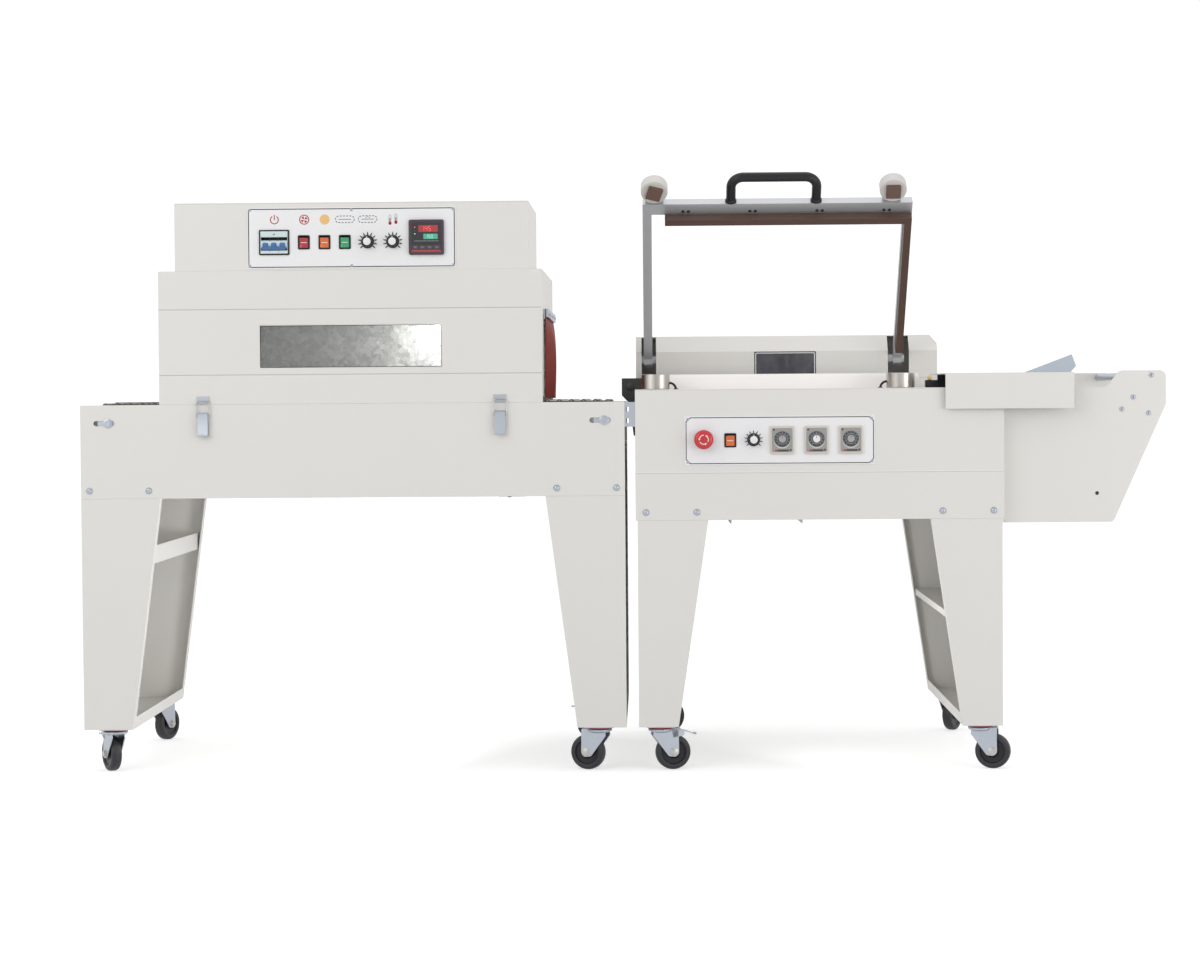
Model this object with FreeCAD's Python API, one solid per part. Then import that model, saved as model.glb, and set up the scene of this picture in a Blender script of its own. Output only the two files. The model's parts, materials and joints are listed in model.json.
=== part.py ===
import FreeCAD, Part
import math
import os

os.makedirs("parts", exist_ok=True)
V = FreeCAD.Vector

# A shrink wrapping line: a heated tunnel with a roller-bar conveyor on the left
# and an L-bar film sealer with a film cradle on the right.
# Millimetres. +X runs to the right along the line, +Y to the rear, +Z up.
# The origin is on the floor under the middle of the line.

# Sheet metal and running gaps
SHEET = 2.0
FIT = 0.05
GAP = 0.3
BOLT_PLAY = 0.2

# Facets on small and large rounds
BOLT_SIDES = 6
PIN_SIDES = 8
ROUND_SIDES = 16

# Shared plan
FRONT = -370.0
CASTER_H = 95.0

# Tunnel stand and bed
BED_LEFT = -1146.0
BED_LEN = 1150.0
BED_DEPTH = 630.0
BED_TOP = 783.0
BED_H = 198.0
BED_FLANGE = 25.0
BED_LEG_TOP_W = 168.0
BED_LEG_FOOT_W = 104.0
LEG_LIP = 25.0
LEG_TAB_H = 45.0
BOLT_R = 4.0
BOLT_RISE = 17.0
STRAP_Z = 445.0
STRAP_H = 38.0

# Tunnel hood
HOOD_INSET = 168.0
HOOD_LEN = 810.0
HOOD_H = 281.0
CREASE_LOW = 59.0
CREASE_HIGH = 197.0
CREASE_STEP = 1.5
CREASE_RUN = 2.0
BOX_INSETS = (36.0, 27.0)
BOX_H = 143.0
BOX_DEPTH = 400.0
BOX_SETBACK = 4.0
WINDOW_X = 213.0
WINDOW_LEN = 386.0
WINDOW_Z = 75.0
WINDOW_H = 92.0
PASS_MARGIN = 75.0
PASS_H = 187.0
LINER_GAP = 18.0
LINER_H = 257.0
LINER_T = 1.5

# Roller-bar conveyor
PITCH = 12.7
SPROCKET_TEETH = 19
BAR_R = 6.5
BAR_SIDES = 6
CHAIN_HALF_H = 4.2
CHAIN_HALF_W = 4.7
CHAIN_SLOT_HALF_W = 3.2
CHAIN_INSET = 28.0
IDLER_INSET = 59.0
DRIVE_INSET = 43.0
SHAFT_R = 10.0
BLOCK_T = 14.0
BLOCK_SIZE = 44.0
TENSION_SLOT_LEN = 46.0
TENSION_SLOT_H = 11.0

# Sealer body, beside the tunnel
MACHINE_GAP = 22.0
SEAL_LEFT = BED_LEFT + BED_LEN + MACHINE_GAP
SEAL_LEN = 775.0
SEAL_DEPTH = 740.0
SEAL_TOP = 808.0
SEAL_UPPER_H = 176.0
SEAL_LOWER_H = 100.0
SEAL_LEG_INSET = 4.0
SEAL_LEG_TOP_W = 149.0
SEAL_LEG_FOOT_W = 84.0
SHELF_Z = 333.0

# Seal plane and lower jaw
SEAL_Z = SEAL_TOP + 32.0
PAD_T = 7.5
JAW_INSET = 18.0
JAW_LEN = 592.0
JAW_LEFT = SEAL_LEFT + JAW_INSET
JAW_RIGHT = JAW_LEFT + JAW_LEN
MAGNET_X = (JAW_LEFT + 26.0, JAW_RIGHT - 46.0)
MAGNET_BACK = 66.0
MAGNET_R = 30.0
JAW_BAR_BACK = 125.0
JAW_ARM_W = 20.0
JAW_ARM_H = 20.0
JAW_BAR_W = 28.0
SEAL_BAR_W = 16.0
SEAL_BAR_H = 22.0
SEAL_BAR_LEFT = JAW_LEFT + 49.0
SEAL_PLAY = 0.5
POST_H = 4.0
HINGE_BACK = 560.0
HINGE_R = 10.0
JAW_OPEN_DEG = 50.0

# Rear cover over the jaw hinge
COVER_RIGHT = JAW_RIGHT + 81.0
COVER_FRONT_BACK = 540.0
COVER_DEPTH = 180.0
COVER_LIP_Z = SEAL_TOP + 24.0
COVER_BEND_Z = SEAL_TOP + 87.0
COVER_TOP_Z = SEAL_TOP + 123.0
COVER_SLOPE = 30.0
COVER_CHAMFER = (16.0, 19.0)
HINGE_POST_W = 20.0
HINGE_POST_X = (JAW_LEFT + 41.0, JAW_RIGHT - 61.0)

# Discharge belt
BELT_TOP = SEAL_Z - 8.0
BELT_T = 2.0
BELT_ROLLER_R = 14.7
BELT_SHAFT_R = 6.0
BELT_X = (SEAL_LEFT - 10.0, JAW_RIGHT - 51.0)
BELT_Y = (FRONT + 155.0, FRONT + 515.0)
BELT_PLATE_T = 6.0
BELT_PLATE_REACH = 24.0

# Film cradle and loading tray
CRADLE_LEN = 343.0
CRADLE_INSET = 25.0
TRAY_X = (JAW_RIGHT + 41.0, JAW_RIGHT + 310.0)
TRAY_TOP = SEAL_Z - 2.0
TRAY_PROUD = 12.0
TRAY_DROP = 75.0
TRAY_LIP = 60.0
FILM_ROLLER_R = 22.5
FILM_SHAFT_R = 8.0
FILM_ROLLER_X = (SEAL_LEFT + SEAL_LEN + 61.0, SEAL_LEFT + SEAL_LEN + 198.0)
FILM_ROLLER_RISE = 51.0
FILM_HOUSE = 32.0
FILM_HOUSE_T = 12.0

# Casters
WHEEL_R = 37.5
WHEEL_W = 23.0
TRAIL = 26.0
FORK_T = 2.5
AXLE_R = 5.0
KING_R = 6.0
CASTER_PLATE_T = 3.0
RACE_H = 3.7
RACE_R = 25.0

BED_RIGHT = BED_LEFT + BED_LEN
BED_REAR = FRONT + BED_DEPTH
BED_BOTTOM = BED_TOP - BED_H
HOOD_LEFT = BED_LEFT + HOOD_INSET
HOOD_RIGHT = HOOD_LEFT + HOOD_LEN
HOOD_TOP = BED_TOP + HOOD_H
HOOD_FRONT_TOP = FRONT + 2 * CREASE_STEP
BOX_LEFT = HOOD_LEFT + BOX_INSETS[0]
BOX_RIGHT = HOOD_RIGHT - BOX_INSETS[1]
BOX_FRONT = FRONT + BOX_SETBACK
BOX_TOP = HOOD_TOP + BOX_H
SEAL_RIGHT = SEAL_LEFT + SEAL_LEN
SEAL_REAR = FRONT + SEAL_DEPTH
SEAL_MID = SEAL_TOP - SEAL_UPPER_H
SEAL_BOTTOM = SEAL_MID - SEAL_LOWER_H
SPROCKET_R = PITCH / (2 * math.sin(math.pi / SPROCKET_TEETH))
SHAFT_Z = BED_TOP - SPROCKET_R
IDLER_X = BED_LEFT + IDLER_INSET
LOOP_PITCHES = 2 * int((2 * (BED_LEN - IDLER_INSET - DRIVE_INSET) / PITCH + SPROCKET_TEETH) / 2)
SHAFT_SPAN = (LOOP_PITCHES - SPROCKET_TEETH) * PITCH / 2
DRIVE_X = IDLER_X + SHAFT_SPAN
CHAIN_Y = (FRONT + CHAIN_INSET, BED_REAR - CHAIN_INSET)
FILM_ROLLER_Z = SEAL_BOTTOM + FILM_ROLLER_RISE
CRADLE_RIGHT = SEAL_RIGHT + CRADLE_LEN


def block(x0, x1, y0, y1, z0, z1):
    return Part.makeBox(x1 - x0, y1 - y0, z1 - z0, V(x0, y0, z0))


def ring_wire(p, direction, r, sides):
    """Regular polygon round an axis, with one corner pointing up, or along X for a vertical axis."""
    axis = V(*direction)
    up = V(1, 0, 0) if direction[2] else V(0, 0, 1)
    side = axis.cross(up)
    corners = []
    for i in range(sides):
        a = 2 * math.pi * i / sides
        corners.append(V(*p) + up * (r * math.cos(a)) + side * (r * math.sin(a)))
    return Part.makePolygon(corners + corners[:1])


def rod(p, direction, length, r, sides=PIN_SIDES):
    """Round bar with flat facets inside radius r, so that many small rounds stay light."""
    return Part.Face(ring_wire(p, direction, r, sides)).extrude(V(*direction) * length)


def hole(p, direction, length, r, sides=PIN_SIDES):
    """Cutter for a round hole, with flat facets outside radius r."""
    return rod(p, direction, length, r / math.cos(math.pi / sides), sides)


def turned(p, direction, profile, sides):
    """Turned shape through (radius, distance along the axis) points."""
    rings = [ring_wire(V(*p) + V(*direction) * h, direction, r, sides) for r, h in profile]
    return Part.makeLoft(rings, True, True)


def true_bore(p, direction, length, r):
    """Truly round cutter, for the bores that cables go through."""
    return Part.makeCylinder(r, length, V(*p), V(*direction))


def polygon(points):
    pts = [V(*p) for p in points]
    return Part.Face(Part.makePolygon(pts + pts[:1]))


def plate_xz(points, y0, y1):
    return polygon([(x, y0, z) for x, z in points]).extrude(V(0, y1 - y0, 0))


def plate_yz(points, x0, x1):
    return polygon([(x0, y, z) for y, z in points]).extrude(V(x1 - x0, 0, 0))


def plate_xy(points, z0, z1):
    return polygon([(x, y, z0) for x, y in points]).extrude(V(0, 0, z1 - z0))


def fuse(shapes):
    return shapes[0].multiFuse(shapes[1:]).removeSplitter()


def cut_all(shape, tools):
    return shape.cut(Part.makeCompound(tools)) if tools else shape


def casing_sides(x0, x1, y0, y1, z0, z1):
    """Front, rear, left and right sheets of a casing, the ends standing between front and rear."""
    return [
        block(x0, x1, y0, y0 + SHEET, z0, z1),
        block(x0, x1, y1 - SHEET, y1, z0, z1),
        block(x0, x0 + SHEET, y0 + SHEET, y1 - SHEET, z0, z1),
        block(x1 - SHEET, x1, y0 + SHEET, y1 - SHEET, z0, z1),
    ]


def save(name, shapes):
    solids = [s for shape in shapes for s in shape.Solids]
    whole = solids[0] if len(solids) == 1 else Part.makeCompound(solids)
    whole.exportStep("parts/" + name + ".step")
    print(name, len(solids), round(sum(s.Volume for s in solids) / 1000, 1))


def slotted(x0, x1, z, h, y0, y1):
    """A slot with round ends, cut through along Y."""
    r = h / 2
    middle = block(x0 + r, x1 - r, y0, y1, z - r, z + r)
    ends = [rod((x, y0, z), (0, 1, 0), y1 - y0, r) for x in (x0 + r, x1 - r)]
    return fuse([middle] + ends)


# Leg frames: tapered boxes of folded sheet, open towards the middle

def leg_bolt_xs(x_out, sign, width):
    return [x_out + sign * d for d in (18.0, width - 24.0)]


def leg_frame(x_out, sign, y0, y1, z_top, top_w, foot_w):
    z0 = CASTER_H
    outer = [(x_out, z0), (x_out + sign * foot_w, z0), (x_out + sign * top_w, z_top), (x_out, z_top)]
    inner = [
        (x_out + sign * SHEET, z0 + SHEET),
        (x_out + sign * (foot_w - SHEET), z0 + SHEET),
        (x_out + sign * (top_w - SHEET), z_top + 1),
        (x_out + sign * SHEET, z_top + 1),
    ]
    shell = plate_xz(outer, y0, y1).cut(plate_xz(inner, y0 + SHEET, y1 - SHEET))
    mouth = block(-2000, 2000, y0 + LEG_LIP, y1 - LEG_LIP, z0 + LEG_LIP, z_top + 2)
    keep = block(*sorted((x_out - sign, x_out + sign * 2 * SHEET)), y0, y1, z0, z_top)
    shell = shell.cut(mouth.cut(keep))
    xa, xb = sorted((x_out + sign * 6.0, x_out + sign * (top_w - 14.0)))
    tabs = [
        block(xa, xb, y0 + SHEET, y0 + 2 * SHEET, z_top - 20, z_top + LEG_TAB_H),
        block(xa, xb, y1 - 2 * SHEET, y1 - SHEET, z_top - 20, z_top + LEG_TAB_H),
    ]
    leg = fuse([shell] + tabs)
    holes = [
        hole((x, y0 - 1, z_top + BOLT_RISE), (0, 1, 0), y1 - y0 + 2, BOLT_R + BOLT_PLAY, BOLT_SIDES)
        for x in leg_bolt_xs(x_out, sign, top_w)
    ]
    return cut_all(leg, holes)


def tunnel_leg(x_out, sign):
    leg = leg_frame(x_out, sign, FRONT, BED_REAR, BED_BOTTOM, BED_LEG_TOP_W, BED_LEG_FOOT_W)
    share = (STRAP_Z - CASTER_H) / (BED_BOTTOM - CASTER_H)
    reach = BED_LEG_FOOT_W + share * (BED_LEG_TOP_W - BED_LEG_FOOT_W) - 2 * SHEET
    xa, xb = sorted((x_out + sign * (reach - SHEET), x_out + sign * reach))
    strap = block(xa, xb, FRONT + SHEET, BED_REAR - SHEET, STRAP_Z, STRAP_Z + STRAP_H)
    return [leg, strap]


def sealer_leg(x_out, sign):
    leg = leg_frame(x_out, sign, FRONT, SEAL_REAR, SEAL_BOTTOM, SEAL_LEG_TOP_W, SEAL_LEG_FOOT_W)
    share = (SHELF_Z - CASTER_H) / (SEAL_BOTTOM - CASTER_H)
    reach = SEAL_LEG_FOOT_W + share * (SEAL_LEG_TOP_W - SEAL_LEG_FOOT_W) - 2 * SHEET
    xa, xb = sorted((x_out + sign * SHEET, x_out + sign * reach))
    lip = block(*sorted((x_out + sign * (reach - SHEET), x_out + sign * reach)),
                FRONT + SHEET, SEAL_REAR - SHEET, SHELF_Z - 12, SHELF_Z)
    shelf = block(xa, xb, FRONT + SHEET, SEAL_REAR - SHEET, SHELF_Z, SHELF_Z + SHEET)
    return [leg, fuse([shelf, lip])]


SEALER_LEG_X = ((SEAL_LEFT + SEAL_LEG_INSET, 1), (SEAL_RIGHT - SEAL_LEG_INSET, -1))
TUNNEL_LEG_X = ((BED_LEFT, 1), (BED_RIGHT, -1))


def leg_frames():
    parts = []
    for x, sign in TUNNEL_LEG_X:
        parts += tunnel_leg(x, sign)
    for x, sign in SEALER_LEG_X:
        parts += sealer_leg(x, sign)
    save("leg_frames", parts)


# Tunnel bed

def tension_slots():
    half = TENSION_SLOT_LEN / 2
    left = (IDLER_X - half - 8, IDLER_X + half - 8)
    right = (DRIVE_X - half - 8, DRIVE_X + half - 8)
    return [slotted(a, b, SHAFT_Z, TENSION_SLOT_H, FRONT - 1, BED_REAR + 1) for a, b in (left, right)]


def bed_panel(y_face, inward):
    y1 = y_face + inward * SHEET
    web = block(BED_LEFT, BED_RIGHT, *sorted((y_face, y1)), BED_BOTTOM, BED_TOP)
    x0 = BED_LEFT + BED_LEG_TOP_W + 3
    x1 = BED_RIGHT - BED_LEG_TOP_W - 3
    flange = block(x0, x1, *sorted((y_face, y_face + inward * BED_FLANGE)), BED_BOTTOM, BED_BOTTOM + SHEET)
    panel = fuse([web, flange])
    holes = []
    for x, sign in TUNNEL_LEG_X:
        for bx in leg_bolt_xs(x, sign, BED_LEG_TOP_W):
            holes.append(hole((bx, FRONT - 1, BED_BOTTOM + BOLT_RISE), (0, 1, 0), BED_DEPTH + 2,
                              BOLT_R + BOLT_PLAY, BOLT_SIDES))
    if inward < 0:
        x, y, z = GLANDS[0]
        holes.append(hole((x, y - 5, z), (0, 1, 0), 10, GLAND_BORE_R + 3))
    return cut_all(panel, holes + tension_slots())


def shaft_block(x, y_face, inward):
    """Bearing block that carries a conveyor shaft on the inside of a bed panel."""
    y0, y1 = sorted((y_face + inward * SHEET, y_face + inward * (SHEET + BLOCK_T)))
    h = BLOCK_SIZE / 2
    body = block(x - h, x + h, y0, y1, SHAFT_Z - h, SHAFT_Z + h)
    y_in = y_face + inward * (SHEET + 4)
    bore = hole((x, y_in, SHAFT_Z), (0, inward, 0), BLOCK_T, SHAFT_R + FIT)
    return body.cut(bore)


def tunnel_bed():
    y_in0 = FRONT + SHEET
    y_in1 = BED_REAR - SHEET
    parts = [bed_panel(FRONT, 1), bed_panel(BED_REAR, -1)]
    for x in (BED_LEFT, BED_RIGHT - SHEET):
        parts.append(block(x, x + SHEET, y_in0, y_in1, BED_BOTTOM + SHEET, BED_BOTTOM + 105))
    for share in (0.27, 0.5, 0.73):
        xc = BED_LEFT + share * BED_LEN
        beam = block(xc - 20, xc + 20, y_in0, y_in1, BED_BOTTOM + 15, BED_BOTTOM + 45)
        hollow = block(xc - 18, xc + 18, y_in0 - 1, y_in1 + 1, BED_BOTTOM + 13, BED_BOTTOM + 43)
        parts.append(beam.cut(hollow))
    rail_top = BED_TOP - CHAIN_HALF_H - GAP
    for face, inward, chain in ((FRONT, 1, CHAIN_Y[0]), (BED_REAR, -1, CHAIN_Y[1])):
        ya, yb = sorted((face + inward * SHEET, chain + inward * CHAIN_HALF_W))
        yc, yd = sorted((face + inward * SHEET, face + inward * 2 * SHEET))
        x0, x1 = IDLER_X + 52, DRIVE_X - 52
        top = block(x0, x1, ya, yb, rail_top - SHEET, rail_top)
        leg = block(x0, x1, yc, yd, rail_top - 24, rail_top)
        parts.append(fuse([top, leg]))
        for x in (IDLER_X, DRIVE_X):
            parts.append(shaft_block(x, face, inward))
    parts += gear_motor()
    save("tunnel_bed", parts)


def gear_motor():
    """Conveyor gear motor, hung on a plate from the middle cross member."""
    x = BED_LEFT + 0.73 * BED_LEN
    z = BED_BOTTOM + 15
    y = BED_REAR - 190
    plate = block(x - 18, x + 70, y - 40, y + 40, z + 30, z + 34)
    box = block(x + 22, x + 82, y - 30, y + 30, z - 30, z + 30)
    motor = rod((x + 52, y - 30, z), (0, -1, 0), 120, 28)
    return [fuse([plate, box, motor])]


# Roller-bar conveyor: two chains joined by bars at every second pitch

def loop_point(s):
    """Point and turn on the chain's pitch line at distance s, starting over the idler."""
    arc = math.pi * SPROCKET_R
    total = 2 * SHAFT_SPAN + 2 * arc
    s = s % total
    if s < SHAFT_SPAN:
        return IDLER_X + s, BED_TOP
    s -= SHAFT_SPAN
    if s < arc:
        a = math.pi / 2 - s / SPROCKET_R
        return DRIVE_X + SPROCKET_R * math.cos(a), SHAFT_Z + SPROCKET_R * math.sin(a)
    s -= arc
    if s < SHAFT_SPAN:
        return DRIVE_X - s, SHAFT_Z - SPROCKET_R
    a = -math.pi / 2 - (s - SHAFT_SPAN) / SPROCKET_R
    return IDLER_X + SPROCKET_R * math.cos(a), SHAFT_Z + SPROCKET_R * math.sin(a)


def racetrack(r, xa, xb, zc, y0, y1):
    """Solid of the outline of a belt round two equal pulleys."""
    middle = block(xa, xb, y0, y1, zc - r, zc + r)
    ends = [rod((x, y0, zc), (0, 1, 0), y1 - y0, r, ROUND_SIDES) for x in (xa, xb)]
    return fuse([middle] + ends)


def chain(yc):
    """Closed band of a chain in its two runs and the plates of its two bends, open for the sprockets."""
    y0, y1 = yc - CHAIN_HALF_W, yc + CHAIN_HALF_W
    reach = SPROCKET_R + CHAIN_HALF_H
    outer = racetrack(reach, IDLER_X, DRIVE_X, SHAFT_Z, y0, y1)
    inner = racetrack(SPROCKET_R - CHAIN_HALF_H, IDLER_X, DRIVE_X, SHAFT_Z, y0 - 1, y1 + 1)
    slots = [
        hole((x, yc - CHAIN_SLOT_HALF_W, SHAFT_Z), (0, 1, 0), 2 * CHAIN_SLOT_HALF_W, reach + 1, ROUND_SIDES)
        for x in (IDLER_X, DRIVE_X)
    ]
    band = cut_all(outer.cut(inner), slots)
    edges = (IDLER_X - reach - 5, IDLER_X, DRIVE_X, DRIVE_X + reach + 5)
    return [band.common(block(xa, xb, y0 - 5, y1 + 5, SHAFT_Z - reach - 5, SHAFT_Z + reach + 5))
            for xa, xb in zip(edges, edges[1:])]


def conveyor_bar(x, z, y0, y1):
    pts = []
    for i in range(BAR_SIDES):
        a = 2 * math.pi * (i + 0.5) / BAR_SIDES
        pts.append((x + BAR_R * math.cos(a), z + BAR_R * math.sin(a)))
    return plate_xz(pts, y0, y1)


def roller_conveyor():
    parts = chain(CHAIN_Y[0]) + chain(CHAIN_Y[1])
    y0 = CHAIN_Y[0] + CHAIN_HALF_W
    y1 = CHAIN_Y[1] - CHAIN_HALF_W
    count = LOOP_PITCHES // 2
    total = 2 * SHAFT_SPAN + 2 * math.pi * SPROCKET_R
    for i in range(count):
        x, z = loop_point((i + 0.5) * total / count)
        parts.append(conveyor_bar(x, z, y0, y1))
    save("roller_conveyor", parts)


def sprocket(x, yc):
    tip = SPROCKET_R + 3.4
    root = SPROCKET_R - 4.0
    pts = []
    for i in range(SPROCKET_TEETH):
        a = 2 * math.pi * i / SPROCKET_TEETH
        step = 2 * math.pi / SPROCKET_TEETH
        for share, r in ((-0.24, root), (-0.09, tip), (0.09, tip), (0.24, root)):
            b = a + share * step
            pts.append((x + r * math.cos(b), SHAFT_Z + r * math.sin(b)))
    return plate_xz(pts, yc - 2.4, yc + 2.4)


def conveyor_shaft(name, x):
    y0 = FRONT + SHEET + 4 + GAP
    y1 = BED_REAR - SHEET - 4 - GAP
    shaft = rod((x, y0, SHAFT_Z), (0, 1, 0), y1 - y0, SHAFT_R)
    wheels = [sprocket(x, y) for y in CHAIN_Y]
    hubs = [rod((x, CHAIN_Y[0] + 2.4, SHAFT_Z), (0, 1, 0), 14, 17),
            rod((x, CHAIN_Y[1] - 2.4, SHAFT_Z), (0, -1, 0), 14, 17)]
    save(name, [fuse([shaft] + wheels + hubs)])


# Tunnel hood, control box and heated chamber

def hood_front(inset, z_top):
    """Creased line of the hood's front from the bed up, set back by inset."""
    z1 = BED_TOP + CREASE_LOW
    z2 = BED_TOP + CREASE_HIGH
    f = FRONT + inset
    return [
        (f, BED_TOP), (f, z1), (f + CREASE_STEP, z1 + CREASE_RUN), (f + CREASE_STEP, z2),
        (f + 2 * CREASE_STEP, z2 + CREASE_RUN), (f + 2 * CREASE_STEP, z_top),
    ]


PASS_Y = (FRONT + PASS_MARGIN, BED_REAR - PASS_MARGIN)
FAN_X = HOOD_LEFT + HOOD_LEN / 2
FAN_Y = (FRONT + BED_REAR) / 2
FAN_R = 75.0
FAN_SHAFT_R = 6.0
FAN_BLADE_H = 32.0
FAN_HUB_R = 24.0
FAN_DROP = 12.0
FAN_MOTOR_R = 45.0
FAN_MOTOR_H = 85.0
FAN_MOTOR_BORE = 30.0
GLASS_T = 4.0
HEATER_R = 5.0
HEATER_DROP = 32.0


def window_box(grow, y0, y1):
    x0 = HOOD_LEFT + WINDOW_X
    z0 = BED_TOP + WINDOW_Z
    return block(x0 - grow, x0 + WINDOW_LEN + grow, y0, y1, z0 - grow, z0 + WINDOW_H + grow)


def hood_end(x):
    """End sheet with the packs' way in and the chains' way through under it."""
    y_in = BED_REAR - SHEET
    outline = hood_front(SHEET, HOOD_TOP - SHEET) + [(y_in, HOOD_TOP - SHEET), (y_in, BED_TOP)]
    end = plate_yz(outline, x, x + SHEET)
    return cut_all(end, [
        block(x - 5, x + 5, PASS_Y[0], PASS_Y[1], BED_TOP - 5, BED_TOP + PASS_H),
        block(x - 5, x + 5, CHAIN_Y[0] - 12, CHAIN_Y[1] + 12, BED_TOP - 5, BED_TOP + 12),
    ])


def tunnel_hood():
    y_in = BED_REAR - SHEET
    face = plate_yz(hood_front(0, HOOD_TOP) + hood_front(SHEET, HOOD_TOP)[::-1], HOOD_LEFT, HOOD_RIGHT)
    face = face.cut(window_box(0, FRONT - 5, FRONT + 10))
    rear = block(HOOD_LEFT, HOOD_RIGHT, y_in, BED_REAR, BED_TOP, HOOD_TOP)
    top = block(HOOD_LEFT, HOOD_RIGHT, HOOD_FRONT_TOP + SHEET, y_in, HOOD_TOP - SHEET, HOOD_TOP)
    top = top.cut(hole((FAN_X, FAN_Y, HOOD_TOP - 10), (0, 0, 1), 20, FAN_SHAFT_R + 2))
    ends = [hood_end(HOOD_LEFT), hood_end(HOOD_RIGHT - SHEET)]
    rear_y = BOX_FRONT + BOX_DEPTH
    box = casing_sides(BOX_LEFT, BOX_RIGHT, BOX_FRONT, rear_y, HOOD_TOP, BOX_TOP - SHEET)
    box[0] = cut_all(box[0], [cutout(item, BOX_FRONT) for item in TUNNEL_PANEL])
    lid = block(BOX_LEFT, BOX_RIGHT, BOX_FRONT, rear_y, BOX_TOP - SHEET, BOX_TOP)
    save("tunnel_hood", [face, rear, top] + ends + box + [lid])


def heating_chamber():
    y0, y1 = FRONT + LINER_GAP, BED_REAR - LINER_GAP
    x0, x1 = HOOD_LEFT + SHEET, HOOD_RIGHT - SHEET
    top = BED_TOP + LINER_H
    z0 = BED_TOP + 2
    glass_back = FRONT + CREASE_STEP + SHEET + GLASS_T
    face = fuse([block(x0, x1, y0, y0 + LINER_T, z0, top), window_box(6, glass_back, y0 + LINER_T)])
    face = face.cut(window_box(4, glass_back - 1, y0 + LINER_T + 1))
    rear = block(x0, x1, y1 - LINER_T, y1, z0, top)
    roof = block(x0, x1, y0 + LINER_T, y1 - LINER_T, top - LINER_T, top)
    roof = roof.cut(hole((FAN_X, FAN_Y, top - 10), (0, 0, 1), 20, FAN_SHAFT_R + 2))
    parts = [face, rear, roof]
    for y in (y0 + 70, y0 + 130, y1 - 130, y1 - 70):
        z = top - HEATER_DROP
        parts.append(rod((x0 + 20, y, z), (1, 0, 0), x1 - x0 - 40, HEATER_R, BAR_SIDES))
        for x in (x0 + 60, x1 - 60):
            hanger = block(x - 2, x + 2, y - 8, y + 8, z - 9, top - LINER_T)
            parts.append(hanger.cut(hole((x - 5, y, z), (1, 0, 0), 10, HEATER_R, BAR_SIDES)))
    body = rod((FAN_X, FAN_Y, HOOD_TOP), (0, 0, 1), FAN_MOTOR_H, FAN_MOTOR_R)
    bore = hole((FAN_X, FAN_Y, HOOD_TOP - 1), (0, 0, 1), FAN_MOTOR_BORE + 1, FAN_SHAFT_R + FIT)
    parts.append(body.cut(bore))
    save("heating_chamber", parts)


def fan_impeller():
    top = BED_TOP + LINER_H - FAN_DROP
    foot = top - FAN_BLADE_H - 8
    shaft = rod((FAN_X, FAN_Y, foot), (0, 0, 1), HOOD_TOP + FAN_MOTOR_BORE - 1 - foot, FAN_SHAFT_R)
    disc = rod((FAN_X, FAN_Y, top - SHEET), (0, 0, 1), SHEET, FAN_R, ROUND_SIDES)
    blades = []
    for i in range(8):
        blade = block(FAN_HUB_R - 2, FAN_R - 2, -SHEET / 2, SHEET / 2, top - SHEET - FAN_BLADE_H, top - SHEET)
        blade.rotate(V(0, 0, 0), V(0, 0, 1), 45 * i)
        blade.translate(V(FAN_X, FAN_Y, 0))
        blades.append(blade)
    hub = rod((FAN_X, FAN_Y, foot), (0, 0, 1), top - foot, FAN_HUB_R)
    save("fan_impeller", [fuse([shaft, disc, hub] + blades)])


def hood_window():
    y0 = FRONT + CREASE_STEP + SHEET
    save("hood_window", [window_box(8, y0, y0 + GLASS_T)])


STRIPS = 7
STRIP_T = 2.0


def curtain(x_face, sign, bulge):
    """Hanging strips under a clamp bar, at one end of the hood."""
    z_top = BED_TOP + PASS_H + 12
    z_low = BED_TOP + BAR_R + 2
    width = (PASS_Y[1] - PASS_Y[0] - 12) / STRIPS
    parts = []
    xa, xb = sorted((x_face, x_face + sign * 3))
    y0, y1 = PASS_Y[0] + 6, PASS_Y[1] - 6
    parts.append(block(xa, xb, y0, y1, z_top - 22, z_top))
    xa, xb = sorted((x_face + sign * (3 + STRIP_T), x_face + sign * (8 + STRIP_T)))
    parts.append(block(xa, xb, y0, y1, z_top - 18, z_top))
    near = x_face + sign * 3
    mid = near + sign * bulge
    foot = near + sign * bulge * 0.45
    for i in range(STRIPS):
        a = y0 + i * width + 0.5
        b = y0 + (i + 1) * width - 0.5
        hold = [(near, z_top), (near, z_top - 22)]
        inner = hold + [(mid, z_top - 75), (mid, z_top - 110), (foot, z_low)]
        outer = [(x + sign * STRIP_T, z) for x, z in reversed(inner)]
        parts.append(plate_xz(inner + outer, a, b))
    return parts


def exit_curtains():
    save("exit_curtains", curtain(HOOD_RIGHT, 1, 16) + curtain(HOOD_LEFT, -1, 10))


# Panels with instruments: each plate's left edge, length, bottom and height, and each
# instrument's kind and centre

TUNNEL_ROW_Z = HOOD_TOP + 59.0
TUNNEL_FASCIA = (BOX_LEFT + 154.0, 440.0, HOOD_TOP + 4.0, 128.0)
TUNNEL_PANEL = [
    ("breaker", TUNNEL_FASCIA[0] + 57.0, TUNNEL_ROW_Z),
    ("rocker", TUNNEL_FASCIA[0] + 119.5, TUNNEL_ROW_Z),
    ("rocker", TUNNEL_FASCIA[0] + 163.0, TUNNEL_ROW_Z),
    ("rocker", TUNNEL_FASCIA[0] + 206.0, TUNNEL_ROW_Z),
    ("knob", TUNNEL_FASCIA[0] + 254.0, TUNNEL_ROW_Z),
    ("knob", TUNNEL_FASCIA[0] + 307.0, TUNNEL_ROW_Z),
    ("controller", TUNNEL_FASCIA[0] + 378.0, TUNNEL_ROW_Z + 8.5),
]
SEALER_ROW_Z = SEAL_MID + 68.0
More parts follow.
